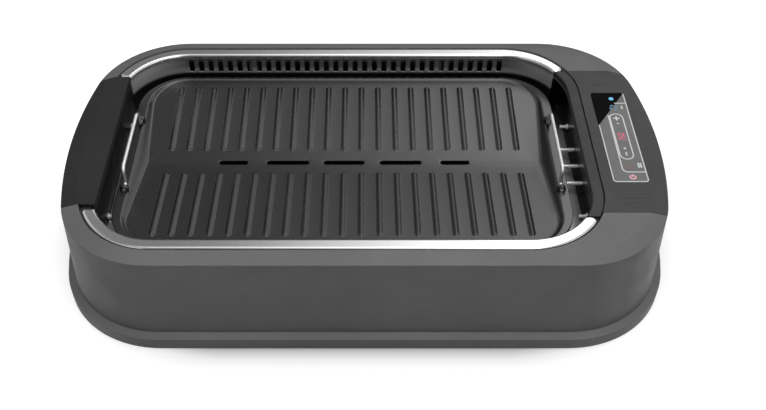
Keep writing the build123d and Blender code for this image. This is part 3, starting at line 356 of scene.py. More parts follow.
def glossy(name, colour, roughness=0.12, specular=0.5, coat=0.3, emission=0.0, glow=None):
    """Glossy moulding or film: a clear skin with a faint ripple and fine dust."""
    paint = Shader(name)
    clouds = paint.noise(skin_cloud_scale, detail=4.0)
    tone = paint.clouded(clouds, colour, 1.0 - skin_variation, 1.0 + skin_variation)
    dust = paint.noise(skin_dust_scale)
    rough = paint.spread(dust, roughness * skin_clean, roughness * skin_dusty, from_low=0.4, from_high=0.75)
    ripple = paint.noise(skin_ripple_scale)
    normal = paint.bump(ripple, skin_ripple, skin_ripple_depth, paint.rounded(small_round))
    node = paint.principled(Base_Color=tone, Roughness=rough, Specular_IOR_Level=specular, Normal=normal,
                            Coat_Weight=coat, Coat_Roughness=skin_coat_roughness)
    if glow is not None:
        feed(paint.tree, glow, node.inputs["Emission Color"])
        feed(paint.tree, emission, node.inputs["Emission Strength"])
    return paint.material


def make_materials():
    return {
        "housing": moulded("housing_grey", (0.157, 0.157, 0.158), 0.55, 0.35, round_edge=0.0010),
        "pan": moulded("pan_grey", (0.171, 0.171, 0.172), 0.55, 0.35),
        "left_panel": moulded("left_panel_matt", (0.035, 0.035, 0.036), 0.66, 0.12, wear=0.2),
        "right_panel": moulded("right_panel_satin", (0.058, 0.058, 0.060), 0.55, 0.3),
        "bezel": moulded("bezel_satin", (0.039, 0.039, 0.041), 0.5, 0.32),
        "trim": metal("bright_trim", (0.86, 0.865, 0.87), 0.16, streak=0.004, grain=0.0,
                      round_edge=0.0012, tone_low=0.98, tone_high=1.01),
        # The liner's pale colour is painted light that keeps its two ends bright
        "liner": sheet_with_painted_light("liner_steel", (0.95, 0.95, 0.95), 0.42, 0.75),
        "wall": glossy("wall_black", (0.010, 0.010, 0.011), 0.26, coat=0.1),
        "left_wall": moulded("left_wall_black", (0.008, 0.008, 0.008), 0.42, 0.2, wear=0.05),
        "plastic": moulded("inner_black", (0.022, 0.022, 0.023), 0.45, 0.4),
        "polished": metal("polished_steel", (1.0, 1.0, 1.0), 0.36, 0.45, streak=0.02, grain=0.0),
        "nonstick": coated("nonstick_coat", (0.006, 0.006, 0.0062), 0.28, 1.0, peel=0.12, cloud=0.04),
        "chrome": metal("bail_chrome", (0.92, 0.92, 0.93), 0.28, 0.8, streak=0.02, grain=0.0),
        "film": glossy("label_film", (0.004, 0.004, 0.0045), 0.25, specular=0.01, coat=0.0),
        "board": glossy("board_green", (0.02, 0.13, 0.05), 0.35, coat=0.1),
        "red": glossy("display_red", (0.50, 0.06, 0.12), 0.3, emission=0.4, glow=(1.0, 0.12, 0.28)),
        "blue": glossy("lamp_blue", (0.08, 0.35, 0.7), 0.25, emission=0.4, glow=(0.12, 0.55, 1.0)),
        "tub": metal("aluminised_sheet", (0.42, 0.42, 0.43), 0.38, brush=(1.0, 12.0, 1.0)),
        "tray": coated("tray_coat", (0.05, 0.05, 0.052), 0.42, 0.45),
        "heater": metal("heater_steel", (0.20, 0.185, 0.17), 0.42, 0.9, streak=0.12),
        "zinc": metal("zinc_plate", (0.60, 0.61, 0.62), 0.3, streak=0.08),
        "ceramic": moulded("white_ceramic", (0.62, 0.60, 0.54), 0.4, 0.5),
        "rubber": moulded("foot_rubber", (0.02, 0.02, 0.02), 0.75, 0.25),
        "brass": metal("sintered_brass", (0.70, 0.52, 0.24), 0.35),
        "core": coated("core_laminations", (0.14, 0.14, 0.15), 0.5, 0.4),
        "can": metal("capacitor_can", (0.65, 0.66, 0.68), 0.28),
        "glass": glossy("fuse_glass", (0.75, 0.77, 0.76), 0.05),
        "lead": moulded("sleeved_lead", (0.35, 0.34, 0.33), 0.7, 0.25),
        "relay": glossy("relay_case", (0.03, 0.11, 0.38), 0.3),
        "print_white": glossy("print_white", (0.80, 0.80, 0.80), 0.4, specular=0.2, coat=0.0),
        # Grey of a painted reflection on the label film
        "painted_reflection_grey": glossy("painted_reflection_grey", (0.185, 0.185, 0.183), 0.35, specular=0.2, coat=0.0),
        "print_red": glossy("print_red", (0.78, 0.42, 0.47), 0.35, coat=0.0, emission=0.12,
                            glow=(1.0, 0.5, 0.6)),
        "print_dim": glossy("print_dim", (0.22, 0.10, 0.11), 0.35, coat=0.0),
        "print_blue": glossy("print_blue", (0.10, 0.22, 0.30), 0.35, coat=0.0, emission=0.08,
                             glow=(0.1, 0.4, 0.8)),
        "lamp_blue": glossy("lamp_blue", (0.15, 0.45, 0.65), 0.35, coat=0.0, emission=0.35,
                            glow=(0.1, 0.5, 0.9)),
    }


node_materials = {
    "outer_housing": "housing", "base_pan": "pan", "rubber_feet": "rubber", "base_screws": "zinc",
    "bezel_ring": "bezel", "front_rail": "trim", "rear_rail": "trim", "front_liner": "liner",
    "rear_liner": "liner", "left_side_wall": "left_wall", "right_side_wall": "wall",
    "support_studs": "polished", "contact_pins": "polished", "terminal_socket": "ceramic",
    "left_handle_panel": "left_panel", "right_control_panel": "right_panel", "left_grip_cup": "plastic",
    "right_grip_cup": "plastic", "control_label": "film", "touch_board": "board", "led_display": "red",
    "indicator_lamps": "blue", "board_screws": "zinc", "grill_plate": "nonstick", "left_bail": "chrome",
    "right_bail": "chrome", "heat_tub": "tub", "drip_tray": "tray", "heating_tube": "heater",
    "heater_terminal_block": "ceramic", "temperature_probe": "polished", "heater_brackets": "zinc",
    "fan_casing": "plastic", "fan_motor": "zinc", "motor_bush": "brass", "fan_shaft": "zinc",
    "fan_impeller": "plastic", "power_board": "board", "relay": "relay", "transformer": "core",
    "capacitors": "can", "fuse": "glass", "ribbon_lead": "lead", "heater_leads": "lead",
    "fan_lead": "lead", "power_inlet": "plastic", "inlet_blades": "brass", "supply_leads": "lead",
}


def dress_nodes(materials):
    for name, kind in node_materials.items():
        mesh = nodes[name].data
        mesh.materials.clear()
        mesh.materials.append(materials[kind])


# The camera, in metres and degrees
sensor_width = 36.0
lens = 45.92
sideways_shift = 0.024
camera_place = (0.0, -0.64405, 0.65798)
camera_tilt = 45.0


def make_camera():
    data = bpy.data.cameras.new("view")
    data.sensor_width = sensor_width
    data.lens = lens
    data.shift_x = sideways_shift
    camera = bpy.data.objects.new("view", data)
    camera.location = camera_place
    camera.rotation_euler = (math.radians(camera_tilt), 0.0, 0.0)
    bpy.context.scene.collection.objects.link(camera)
    bpy.context.scene.camera = camera


# Levels that gloss sees, by the height and the side of its direction
gloss_by_height = [(-1.0, 0.15), (0.0, 0.15), (0.32, 0.17), (0.6, 0.18), (0.86, 0.2), (0.93, 0.6),
                   (1.0, 1.0)]
right_by_height = [(-1.0, 0.0), (0.2, 0.05), (0.42, 0.35), (0.574, 0.62), (0.66, 0.9), (0.74, 1.08),
                   (0.9, 1.0), (1.0, 0.6)]
right_by_side = [(-1.0, 0.0), (-0.17, 0.06), (-0.12, 0.15), (-0.066, 0.36), (0.0, 0.645), (0.087, 1.05),
                 (0.15, 1.7), (0.22, 2.7), (0.3, 2.0), (0.4, 0.6), (1.0, 0.4)]
low_right_by_height = [(-1.0, 0.0), (0.05, 0.0), (0.18, 1.0), (0.42, 1.0), (0.52, 0.0), (1.0, 0.0)]
low_right_by_side = [(-1.0, 0.0), (0.38, 0.0), (0.48, 0.65), (0.6, 0.65), (0.72, 1.2), (0.85, 1.2),
                     (1.0, 0.6)]
left_by_height = [(-1.0, 0.0), (0.05, 0.0), (0.15, 0.22), (0.3, 0.27), (0.45, 1.0), (0.62, 1.0), (0.8, 0.2),
                  (1.0, 0.0)]
left_by_side = [(-1.0, 0.1), (-0.7, 0.4), (-0.45, 0.7), (-0.33, 0.3), (-0.25, 0.0), (1.0, 0.0)]
fill_level = 0.08


def make_world():
    """White behind the object, a dim studio with three soft lights in gloss, a small fill."""
    world = bpy.data.worlds.new("studio")
    bpy.context.scene.world = world
    world.use_nodes = True
    tree = world.node_tree
    tree.nodes.clear()
    axis = tree.nodes.new("ShaderNodeSeparateXYZ")
    tree.links.new(tree.nodes.new("ShaderNodeTexCoord").outputs["Generated"], axis.inputs["Vector"])
    level = ramp(tree, axis.outputs["Z"], gloss_by_height)
    for by_side, by_height in ((right_by_side, right_by_height), (left_by_side, left_by_height),
                               (low_right_by_side, low_right_by_height)):
        lobe_side = ramp(tree, axis.outputs["X"], by_side)
        lobe_height = ramp(tree, axis.outputs["Z"], by_height)
        level = combine(tree, "ADD", level, combine(tree, "MULTIPLY", lobe_side, lobe_height))
    path = tree.nodes.new("ShaderNodeLightPath").outputs
    fill = white_background(tree, fill_level)
    soft = mix_shaders(tree, path["Is Glossy Ray"], fill, white_background(tree, level))
    seen = combine(tree, "MAXIMUM", path["Is Camera Ray"], path["Is Transmission Ray"])
    mixed = mix_shaders(tree, seen, soft, white_background(tree, 1.0))
    output = tree.nodes.new("ShaderNodeOutputWorld")
    tree.links.new(mixed, output.inputs["Surface"])


def direction_point(azimuth, elevation, distance):
    """A place seen from the object, turned from the rear to the right and raised by degrees."""
    turn = math.radians(azimuth)
    rise = math.radians(elevation)
    return (distance * math.sin(turn) * math.cos(rise), distance * math.cos(turn) * math.cos(rise),
            distance * math.sin(rise))


# Softboxes: place, what it is aimed at, side and radiance
body_top = (0.0, 0.0, 0.09)
softboxes = {
    "overhead": ((0.0, -0.3, 1.5), (0.0, -0.1, 0.05), 1.3, 2.9),
    "right": (direction_point(82.0, 50.0, 2.0), body_top, 0.9, 1.45),
    "left": (direction_point(-90.0, 50.0, 2.0), body_top, 0.9, 0.15),
}


def make_lamps():
    """Square softboxes. Gloss sees the world's lights in their place."""
    for name, (place, aim, size, radiance) in softboxes.items():
        data = bpy.data.lights.new(name, "AREA")
        data.shape = "SQUARE"
        data.size = size
        data.energy = radiance * math.pi * size * size
        lamp = bpy.data.objects.new(name, data)
        lamp.location = place
        lamp.visible_glossy = False
        lamp.rotation_euler = (Vector(aim) - Vector(place)).to_track_quat("-Z", "Y").to_euler()
        bpy.context.scene.collection.objects.link(lamp)


# The floor's own whiteness by the distance from the base, dimmed near the base as a painted shadow, and its
# share in gloss by depth, in metres
painted_shadow_by_distance = [(0.0, 0.25), (0.006, 0.46), (0.013, 0.65), (0.022, 0.75), (0.04, 0.86), (0.08, 0.96),
                    (0.3, 1.0)]
gloss_by_depth = [(-0.5, 1.0), (0.0, 0.9), (0.16, 0.4), (0.3, 0.12), (1.0, 0.1)]
shadow_shift = 0.012
floor_half = 4.0
floor_mottle_scale = 3.0
floor_darker = (0.37, 0.37, 0.37)
floor_lighter = (0.39, 0.39, 0.39)


def distance_from_base(paint):
    """How far a place on the floor lies outside the base's rounded outline."""
    tree = paint.tree
    place = paint.axes()
    low, high = cad_box
    round_half = (high.y - low.y) / 2
    straight_half = (high.x - low.x) / 2 - round_half
    across = combine(tree, "SUBTRACT", combine(tree, "ABSOLUTE", place["X"]), straight_half)
    across = combine(tree, "MAXIMUM", across, 0.0)
    along = combine(tree, "ADD", place["Y"], shadow_shift)
    squares = [combine(tree, "MULTIPLY", side, side) for side in (across, along)]
    reach = combine(tree, "SQRT", combine(tree, "ADD", *squares))
    return combine(tree, "SUBTRACT", reach, round_half - shadow_shift)


def make_floor():
    """A pale floor that stays white where it is lit and keeps the contact shadow, with a painted shadow where
    its glow dims near the base.
    """
    mesh = bpy.data.meshes.new("floor")
    corners = [(-1, -1), (1, -1), (1, 1), (-1, 1)]
    mesh.from_pydata([(x * floor_half, y * floor_half, 0.0) for x, y in corners], [], [(0, 1, 2, 3)])
    floor = bpy.data.objects.new("floor", mesh)
    bpy.context.scene.collection.objects.link(floor)
    paint = Shader("floor_paper")
    tree = paint.tree
    diffuse = tree.nodes.new("ShaderNodeBsdfDiffuse")
    mottle = paint.spread(paint.noise(floor_mottle_scale), 0.0, 1.0)
    paint.link(paint.mix(mottle, floor_darker, floor_lighter), diffuse.inputs["Color"])
    glow = tree.nodes.new("ShaderNodeEmission")
    feed(tree, white, glow.inputs["Color"])
    # The glow dims near the base: a painted shadow
    paint.link(ramp(tree, distance_from_base(paint), painted_shadow_by_distance), glow.inputs["Strength"])
    both = tree.nodes.new("ShaderNodeAddShader")
    paint.link(diffuse.outputs["BSDF"], both.inputs[0])
    paint.link(glow.outputs["Emission"], both.inputs[1])
    path = tree.nodes.new("ShaderNodeLightPath").outputs
    share = ramp(tree, paint.axes()["Y"], gloss_by_depth)
    mirrored = combine(tree, "MULTIPLY", path["Is Glossy Ray"], share)
    seen = combine(tree, "MAXIMUM", path["Is Camera Ray"], mirrored)
    mixed = mix_shaders(tree, seen, diffuse.outputs["BSDF"], both.outputs["Shader"])
    paint.link(mixed, paint.output.inputs["Surface"])
    mesh.materials.append(paint.material)


# Mesh helpers, in millimetres
usual_sharp = 35.0
circle_steps = 24


def finish_mesh(name, bm, material, sharp=usual_sharp):
    """Turns a bmesh in millimetres into an object in metres, smooth but for its sharp edges."""
    bmesh.ops.recalc_face_normals(bm, faces=bm.faces)
    mesh = bpy.data.meshes.new(name)
    bmesh.ops.scale(bm, vec=(mm, mm, mm), verts=bm.verts)
    bm.to_mesh(mesh)
    bm.free()
    for polygon in mesh.polygons:
        polygon.use_smooth = True
    mesh.set_sharp_from_angle(angle=math.radians(sharp))
    mesh.materials.append(material)
    piece = bpy.data.objects.new(name, mesh)
    bpy.context.scene.collection.objects.link(piece)
    weighted = piece.modifiers.new("even_normals", "WEIGHTED_NORMAL")
    weighted.keep_sharp = True
    return piece


def arc(centre, radius, start, end, steps):
    turns = [start + (end - start) * n / steps for n in range(steps + 1)]
    return [(centre[0] + radius * math.cos(t), centre[1] + radius * math.sin(t)) for t in turns]


def circle(centre, radius):
    return arc(centre, radius, 0.0, 4 * quarter, circle_steps)[:-1]


def rounded_outline(half_x, half_y, radius, steps):
    """An anticlockwise rounded rectangle, with points where the valley meets its ends."""
    core_x = half_x - radius
    core_y = half_y - radius
    points = [(half_x, 0.0)]
    points += arc((core_x, core_y), radius, 0.0, quarter, steps)
    points += arc((-core_x, core_y), radius, quarter, 2 * quarter, steps)
    points += [(-half_x, 0.0)]
    points += arc((-core_x, -core_y), radius, 2 * quarter, 3 * quarter, steps)
    points += arc((core_x, -core_y), radius, 3 * quarter, 4 * quarter, steps)
    return points


def stadium(centre, half_length, half_width, along_x, steps):
    """A round-ended slot outline, with a point at the tip of each end."""
    reach = half_length - half_width
    points = arc((reach, 0.0), half_width, -quarter, quarter, 2 * steps)
    points += arc((-reach, 0.0), half_width, quarter, 3 * quarter, 2 * steps)
    if not along_x:
        points = [(-y, x) for x, y in points]
    return [(centre[0] + x, centre[1] + y) for x, y in points]


def bridge(bm, lower, upper):
    """Quads between two closed rings that have as many vertices."""
    count = len(lower)
    for n in range(count):
        following = (n + 1) % count
        bm.faces.new((lower[n], lower[following], upper[following], upper[n]))


def bridge_up(bm, rings):
    for lower, upper in zip(rings, rings[1:]):
        bridge(bm, lower, upper)


def bridge_down(bm, rings):
    for upper, lower in zip(rings, rings[1:]):
        bridge(bm, lower, upper)


# The grill plate, cast in one piece, in millimetres
edge_rim_width = 3.5
end_flange_width = 9.0
plate_corner_radius = 45.0
floor_drop = 9.2
floor_slope = math.tan(math.radians(4.75))
riser_run = 7.8
riser_foot_round = 1.6
riser_rim_round = 1.2
valley_round = 7.0
flange_thick = 3.0
floor_thick = 3.6
plate_edge_round = 1.0
low_chamfer = 0.4
corner_steps = 14
plate_sharp = 30.0
on_axis = 1e-4

rib_count = 21
rib_pitch = 15.6
rib_width = 4.2
rib_near_y = 15.3
rib_far_margin = 15.5
rib_end_steps = 5
slot_width = 5.0
slot_end_steps = 6
slot_places = [(-98.6, 25.5), (-50.0, 37.5), (0.0, 36.0), (50.5, 37.0), (99.0, 25.5)]

bail_margin = 6.7
ear_near_y = 43.35
ear_thick = 4.0
ear_radius = 3.6
ear_bore = 1.75
ear_edge = 0.5
ear_steps = 24
pivot_rise = 2.2
foot_margin = 73.0
foot_length = 14.0
foot_width = 4.4
foot_drop = 19.8
foot_edge = 0.6
foot_overlap = 0.5
block_edge_profile = 0.6


class Casting:
    """Sizes of the plate and the height of its surfaces at a place."""

    def __init__(self):
        low, high = (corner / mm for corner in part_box("grill_plate"))
        self.x = (low.x + high.x) / 2
        self.half_x = (high.x - low.x) / 2
        self.half_y = (high.y - low.y) / 2
        self.top_z = high.z - ear_radius - pivot_rise
        self.valley_z = self.top_z - floor_drop
        self.rise = floor_drop / riser_run
        self.rim_radius = plate_corner_radius - end_flange_width

    def floor_z(self, y):
        return self.valley_z + math.hypot(y, valley_round) * floor_slope - valley_round * floor_slope

    def foot_reach(self, point, normal):
        """How far in from the rim the sloped side meets the floor."""
        drop = floor_drop - abs(point[1]) * floor_slope
        return drop / (self.rise - abs(normal[1]) * floor_slope)


def soft_step(a, b, width):
    """The smaller of two heights, with the corner between them rounded."""
    blend = max(width - abs(a - b), 0.0) / width
    return min(a, b) - blend * blend * width / 4


def rim_stations(cast):
    """Points of the rim curve with their outward directions and the outer edge beside them."""
    half_x = cast.half_x - end_flange_width
    half_y = cast.half_y - edge_rim_width
    inner = rounded_outline(half_x, half_y, cast.rim_radius, corner_steps)
    outer = rounded_outline(cast.half_x, cast.half_y, plate_corner_radius, corner_steps)
    stations = []
    for point, edge in zip(inner, outer):
        core_x = max(min(point[0], half_x - cast.rim_radius), cast.rim_radius - half_x)
        core_y = max(min(point[1], half_y - cast.rim_radius), cast.rim_radius - half_y)
        normal = Vector((point[0] - core_x, point[1] - core_y)).normalized()
        if abs(point[1]) < on_axis:
            normal = Vector((math.copysign(1.0, point[0]), 0.0))
        stations.append((Vector(point), normal, Vector(edge)))
    return stations


def side_ring(bm, cast, stations, share, run=0.0, depth=0.0):
    """A ring a share of the way down the sloped side plus a run inwards, at a depth below it."""
    ring = []
    for point, normal, _ in stations:
        reach = cast.foot_reach(point, normal) * share + run
        place = point - normal * reach
        slope_z = cast.top_z - cast.rise * reach
        low_z = -soft_step(-slope_z, -cast.floor_z(place.y), riser_foot_round)
        height = soft_step(cast.top_z, low_z, riser_rim_round)
        ring.append(bm.verts.new((place.x, place.y, height - depth)))
    return ring


def edge_ring(bm, stations, inset, z):
    """A ring near the outer edge, inset from it."""
    ring = []
    for point, _, edge in stations:
        place = edge + (point - edge).normalized() * inset
        ring.append(bm.verts.new((place.x, place.y, z)))
    return ring


# Rings of the plate, from the foot of its edge: how far in, and how far below the top
edge_profile = [(low_chamfer, flange_thick), (0.0, flange_thick - low_chamfer), (0.0, plate_edge_round),
                (plate_edge_round * 0.13, plate_edge_round * 0.5),
                (plate_edge_round * 0.5, plate_edge_round * 0.13), (plate_edge_round, 0.0)]
# Then runs inwards from the rim, shares of the sloped side and runs onto the floor
rim_runs = (-1.0, -0.5, 0.0)
riser_shares = (0.15, 0.3, 0.5, 0.7, 0.85, 1.0)
floor_runs = (0.7, 1.5, 3.0)
# The underside: its first ring, its shares of the side, and the extra thickness where the side starts
under_rim_run = 1.0
under_shares = (0.3, 0.6, 1.0)
under_swell = 0.8


def plate_top(bm, cast, stations):
    """Rings from the foot of the edge over the rim and down to the floor."""
    rings = [edge_ring(bm, stations, inset, cast.top_z - drop) for inset, drop in edge_profile]
    rings += [side_ring(bm, cast, stations, 0.0, run) for run in rim_runs]
    rings += [side_ring(bm, cast, stations, share) for share in riser_shares]
    rings += [side_ring(bm, cast, stations, 1.0, run) for run in floor_runs]
    bridge_up(bm, rings)
    return rings


def plate_underside(bm, cast, stations, outer_ring):
    """Rings from the foot of the edge inwards below the side. Returns the innermost."""
    rings = [outer_ring, side_ring(bm, cast, stations, 0.0, under_rim_run, flange_thick)]
    for share in under_shares:
        rings.append(side_ring(bm, cast, stations, share, 0.0, floor_thick + under_swell * (1.0 - share)))
    bridge_down(bm, rings)
    return rings[-1]


# Points strewn over the floor beside the valley, so that its curve has enough of them
strewn_step = 5.0
strewn_rows = (-14.0, -10.0, -7.0, -4.5, 4.5, 7.0, 10.0, 14.0)
strewn_end_margin = 4.0
strewn_hole_margin = 0.8
inside_faces_only = 1
weld_distance = 1e-5


def hole_box(loop):
    """The box around a ring, with a margin: low and high x, then low and high y."""
    xs = [v.co.x for v in loop]
    ys = [v.co.y for v in loop]
    margin = strewn_hole_margin
    return min(xs) - margin, max(xs) + margin, min(ys) - margin, max(ys) + margin


def in_box(x, y, box):
    low_x, high_x, low_y, high_y = box
    return low_x < x < high_x and low_y < y < high_y


def strewn_places(points, holes):
    """Places over the valley that keep clear of the holes."""
    reach = max(p.x for p in points) - strewn_end_margin
    count = int(2 * reach / strewn_step)
    boxes = [hole_box(loop) for loop in holes]
    places = []
    for n in range(count + 1):
        x = -reach + 2 * reach * n / count
        places += [Vector((x, y)) for y in strewn_rows if not any(in_box(x, y, box) for box in boxes)]
    return places


def fill_floor(bm, cast, outer_ring, holes, depth):
    """Triangles inside a ring and around its holes, at a depth below the V floor."""
    verts = []
    faces = []
    for loop in [outer_ring] + holes:
        faces.append(list(range(len(verts), len(verts) + len(loop))))
        verts += loop
    points = [Vector((v.co.x, v.co.y)) for v in verts]
    marks = sorted((p.x, n) for n, p in enumerate(points) if abs(p.y) < on_axis)
    valley = [(a, b) for (_, a), (_, b) in zip(marks, marks[1:])]
    points += strewn_places(points, holes)
    result = delaunay_2d_cdt(points, valley, faces, inside_faces_only, weld_distance, True)
    out_points, _, out_faces, source_points, _, source_faces = result
    made = []
    for point, sources in zip(out_points, source_points):
        if sources and sources[0] < len(verts):
            made.append(verts[sources[0]])
        else:
            made.append(bm.verts.new((point.x, point.y, cast.floor_z(point.y) - depth)))
    # A triangle that lies in a hole has that hole's face as a source too
    for triangle, sources in zip(out_faces, source_faces):
        if sources == [0]:
            bm.faces.new([made[i] for i in triangle])


# Rings of a rib and of a slot: how far outside the nominal outline, and how high over the floor
rib_rings = [(1.0, 0.0), (0.68, 0.11), (0.35, 0.38), (-0.1, 0.77), (-0.5, 1.12), (-0.9, 1.46), (-1.25, 1.73),
             (-1.55, 1.91), (-1.8, 1.98)]
slot_rings = [(0.9, 0.0), (0.35, -0.12), (0.08, -0.4), (0.0, -0.8), (0.0, -floor_thick)]


def outline_rings(bm, cast, centre, half_length, half_width, profile, along_x, steps):
    """Rings of round-ended outlines that follow the floor."""
    rings = []
    for grow, height in profile:
        outline = stadium(centre, half_length + grow, half_width + grow, along_x, steps)
        rings.append([bm.verts.new((x, y, cast.floor_z(y) + height)) for x, y in outline])
    return rings


def add_rib(bm, cast, x, side_y):
    """One rib with a cast fillet at its foot and a rounded top. Returns its lowest ring."""
    far_y = cast.half_y - rib_far_margin
    centre = (x, side_y * (rib_near_y + far_y) / 2)
    half_length = (far_y - rib_near_y) / 2
    rings = outline_rings(bm, cast, centre, half_length, rib_width / 2, rib_rings, False, rib_end_steps)
    bridge_up(bm, rings)
    bm.faces.new(rings[-1])
    return rings[0]


def add_slot(bm, cast, x, length):
    """A drain slot through the valley. Returns its rings on the floor and on the underside."""
    rings = outline_rings(bm, cast, (x, 0.0), length / 2, slot_width / 2, slot_rings, True, slot_end_steps)
    bridge_down(bm, rings)
    return rings[0], rings[-1]


def add_block(bm, low, high, edge):
    """A box with small rounded edges."""
    made = bmesh.ops.create_cube(bm, size=1.0)["verts"]
    for vert in made:
        for axis in range(3):
            vert.co[axis] = low[axis] if vert.co[axis] < 0 else high[axis]
    edges = list(dict.fromkeys(e for v in made for e in v.link_edges))
    bmesh.ops.bevel(bm, geom=edges, offset=edge, segments=2, affect="EDGES", profile=block_edge_profile)


def ear_outlines(x, pivot_z):
    """The bore of an ear and its rim, round above and straight down into the flange."""
    bore = []
    rim = []
    for n in range(ear_steps):
        turn = 4 * quarter * (n + 0.5) / ear_steps
        cos, sin = math.cos(turn), math.sin(turn)
        reach = ear_radius
        if sin < 0:
            reach = min(ear_radius / abs(cos), (pivot_rise + flange_thick / 2) / -sin)
        bore.append((x + ear_bore * cos, pivot_z + ear_bore * sin))
        rim.append((x + reach * cos, pivot_z + reach * sin))
    return bore, rim


def add_ear(bm, cast, x, low_y, high_y):
    """An ear with a bored hole: its outline and bore are rings joined on both faces."""
    pivot_z = cast.top_z + pivot_rise
    bore, rim = ear_outlines(x, pivot_z)
    sides = []
    for y, inwards in ((low_y, 1), (high_y, -1)):
        bore_ring = [bm.verts.new((px, y, pz)) for px, pz in bore]
        face_ring = []
        for px, pz in rim:
            out = Vector((px - x, pz - pivot_z)).normalized() * ear_edge
            face_ring.append(bm.verts.new((px - out.x, y, pz - out.y)))
        rim_ring = [bm.verts.new((px, y + inwards * ear_edge, pz)) for px, pz in rim]
        bridge_up(bm, [bore_ring, face_ring, rim_ring])
        sides.append((bore_ring, rim_ring))
    bridge(bm, sides[0][0], sides[1][0])
    bridge(bm, sides[0][1], sides[1][1])


def add_fittings(bm, cast):
    """The ears that hold the bails and the feet that stand in the tub."""
    outer_y = cast.half_y - plate_edge_round
    foot_top_z = cast.top_z - flange_thick + foot_overlap
    for side_x in (-1, 1):
        ear_x = side_x * (cast.half_x - bail_margin)
        foot_x = side_x * (cast.half_x - foot_margin)
        for side_y in (-1, 1):
            near, far = sorted((side_y * ear_near_y, side_y * (ear_near_y + ear_thick)))
            add_ear(bm, cast, ear_x, near, far)
            near, far = sorted((side_y * outer_y, side_y * (outer_y - foot_width)))
            add_block(bm, (foot_x - foot_length / 2, near, cast.top_z - foot_drop),
                      (foot_x + foot_length / 2, far, foot_top_z), foot_edge)


def make_plate(material):
    cast = Casting()
    bm = bmesh.new()
    stations = rim_stations(cast)
    top_rings = plate_top(bm, cast, stations)
    under_ring = plate_underside(bm, cast, stations, top_rings[0])
    slots = [add_slot(bm, cast, place, length) for place, length in slot_places]
    holes = [top for top, _ in slots]
    first_x = -(rib_count - 1) / 2 * rib_pitch
    for n in range(rib_count):
        for side_y in (-1, 1):
            holes.append(add_rib(bm, cast, first_x + n * rib_pitch, side_y))
    fill_floor(bm, cast, top_rings[-1], holes, 0.0)
    fill_floor(bm, cast, under_ring, [low for _, low in slots], floor_thick)
    add_fittings(bm, cast)
    bmesh.ops.translate(bm, vec=(cast.x, 0.0, 0.0), verts=bm.verts)
    plate = finish_mesh("cast_plate", bm, material, plate_sharp)
    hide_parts("grill_plate")
    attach(plate, "plate")


# The label: a film with printed marks and a grey field of painted reflection, in millimetres
film_drop = 0.08
film_corner = 3.0
film_edge = 0.15
print_high = 0.035
line_width = 1.1
mark_width = 1.4
hairline_share = 0.004
label_corner_steps = 6
line_corner_steps = 8

# In plan a rise leads to the rear and a drop to the front. Fronts and insets count from the field's edges.
field_left_margin = 1.0
field_right_margin = 0.6
field_front_margin = 0.6
field_rear_margin = 1.0
field_corner = 2.4
slant_rise = 14.1
shelf_drop = 14.0
shelf_length = 10.4

inner_line_inset = 9.8
inner_line_lean = 0.3
inner_line_rise = 13.5
inner_line_front = 11.7
inner_line_corner = 4.5

pill_inset = 16.8
pill_front = 57.8
pill_half_length = 30.0
pill_half_width = 5.7

plus_front = 81.7
plus_reach = 2.9
plus_dot_drop = 7.1
plus_dot_radius = 0.9
minus_front = 34.5
minus_length = 4.6
minus_dot_rise = 7.0
minus_dot_radius = 1.2

shelf_bar_inset = 4.6
shelf_bar_drop = 5.9
shelf_bar_length = 4.2
pair_bar_insets = (4.7, 2.8)
pair_bar_front = 20.0
pair_bar_length = 6.0

digits_front = 56.4
digit_width = 2.1
digit_half_height = 2.9
digit_pitch = 3.6
segment_width = 1.0
segment_trim = 0.53

power_front = 5.6
power_radius = 2.3
power_ring_turns = (math.radians(125), math.radians(415))
power_ring_steps = 20
power_bar_rise = 1.8
power_bar_length = 3.0

lamp_rise = 6.3
lamp_radius = 2.2
fan_sign_drop = 6.3
heat_sign_front = 17.4
heat_sign_shift = 0.6
blade_hub_reach = 2.1
blade_radius = 1.9
blade_first_turn = 0.4
blade_from = -1.2
blade_to = 1.9
blade_steps = 8


class LabelPlan:
    """Places on the control label, worked out from the box of its film."""

    def __init__(self):
        self.low, self.high = (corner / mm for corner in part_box("control_label"))
        self.left = self.low.x + field_left_margin
        self.right = self.high.x - field_right_margin
        self.front = self.low.y + field_front_margin
        self.rear = self.high.y - field_rear_margin
        self.slant_y = (self.low.y + self.high.y) / 2 + slant_rise
        self.shelf_y = self.rear - shelf_drop
        self.pill_x = self.left + pill_inset
        self.film_z = self.high.z - film_drop
        self.print_z = self.film_z + print_high


def add_sheet(bm, outline, low_z, high_z):
    """A thin flat piece with an outline."""
    lower = [bm.verts.new((x, y, low_z)) for x, y in outline]
    upper = [bm.verts.new((x, y, high_z)) for x, y in outline]
    bridge(bm, lower, upper)
    bm.faces.new(upper)
    bm.faces.new(lower[::-1])


def ribbon(points, width):
    """The outline of a line that is drawn with a width."""
    left = []
    right = []
    for n, place in enumerate(points):
        before = points[max(n - 1, 0)]
        after = points[min(n + 1, len(points) - 1)]
        run = Vector((after[0] - before[0], after[1] - before[1])).normalized()
        across = Vector((-run.y, run.x)) * width / 2
        left.append(Vector(place) + across)
        right.append(Vector(place) - across)
    return left + right[::-1]


def closed_ribbon(points, width):
    """The same round a loop, with a hairline where its ends meet."""
    first, last = Vector(points[0]), Vector(points[-1])
    return ribbon(points + [first.lerp(last, hairline_share)], width)


def bar(x, y, length):
    """A short stroke from front to rear."""
    return ribbon([(x, y - length / 2), (x, y + length / 2)], mark_width)


def plus_outline(centre):
    """A plus sign as one outline."""
    half = mark_width / 2
    corners = [(half, half), (half, plus_reach), (-half, plus_reach)]
    places = []
    for _ in range(4):
        places += [(centre[0] + x, centre[1] + y) for x, y in corners]
        corners = [(-y, x) for x, y in corners]
    return places


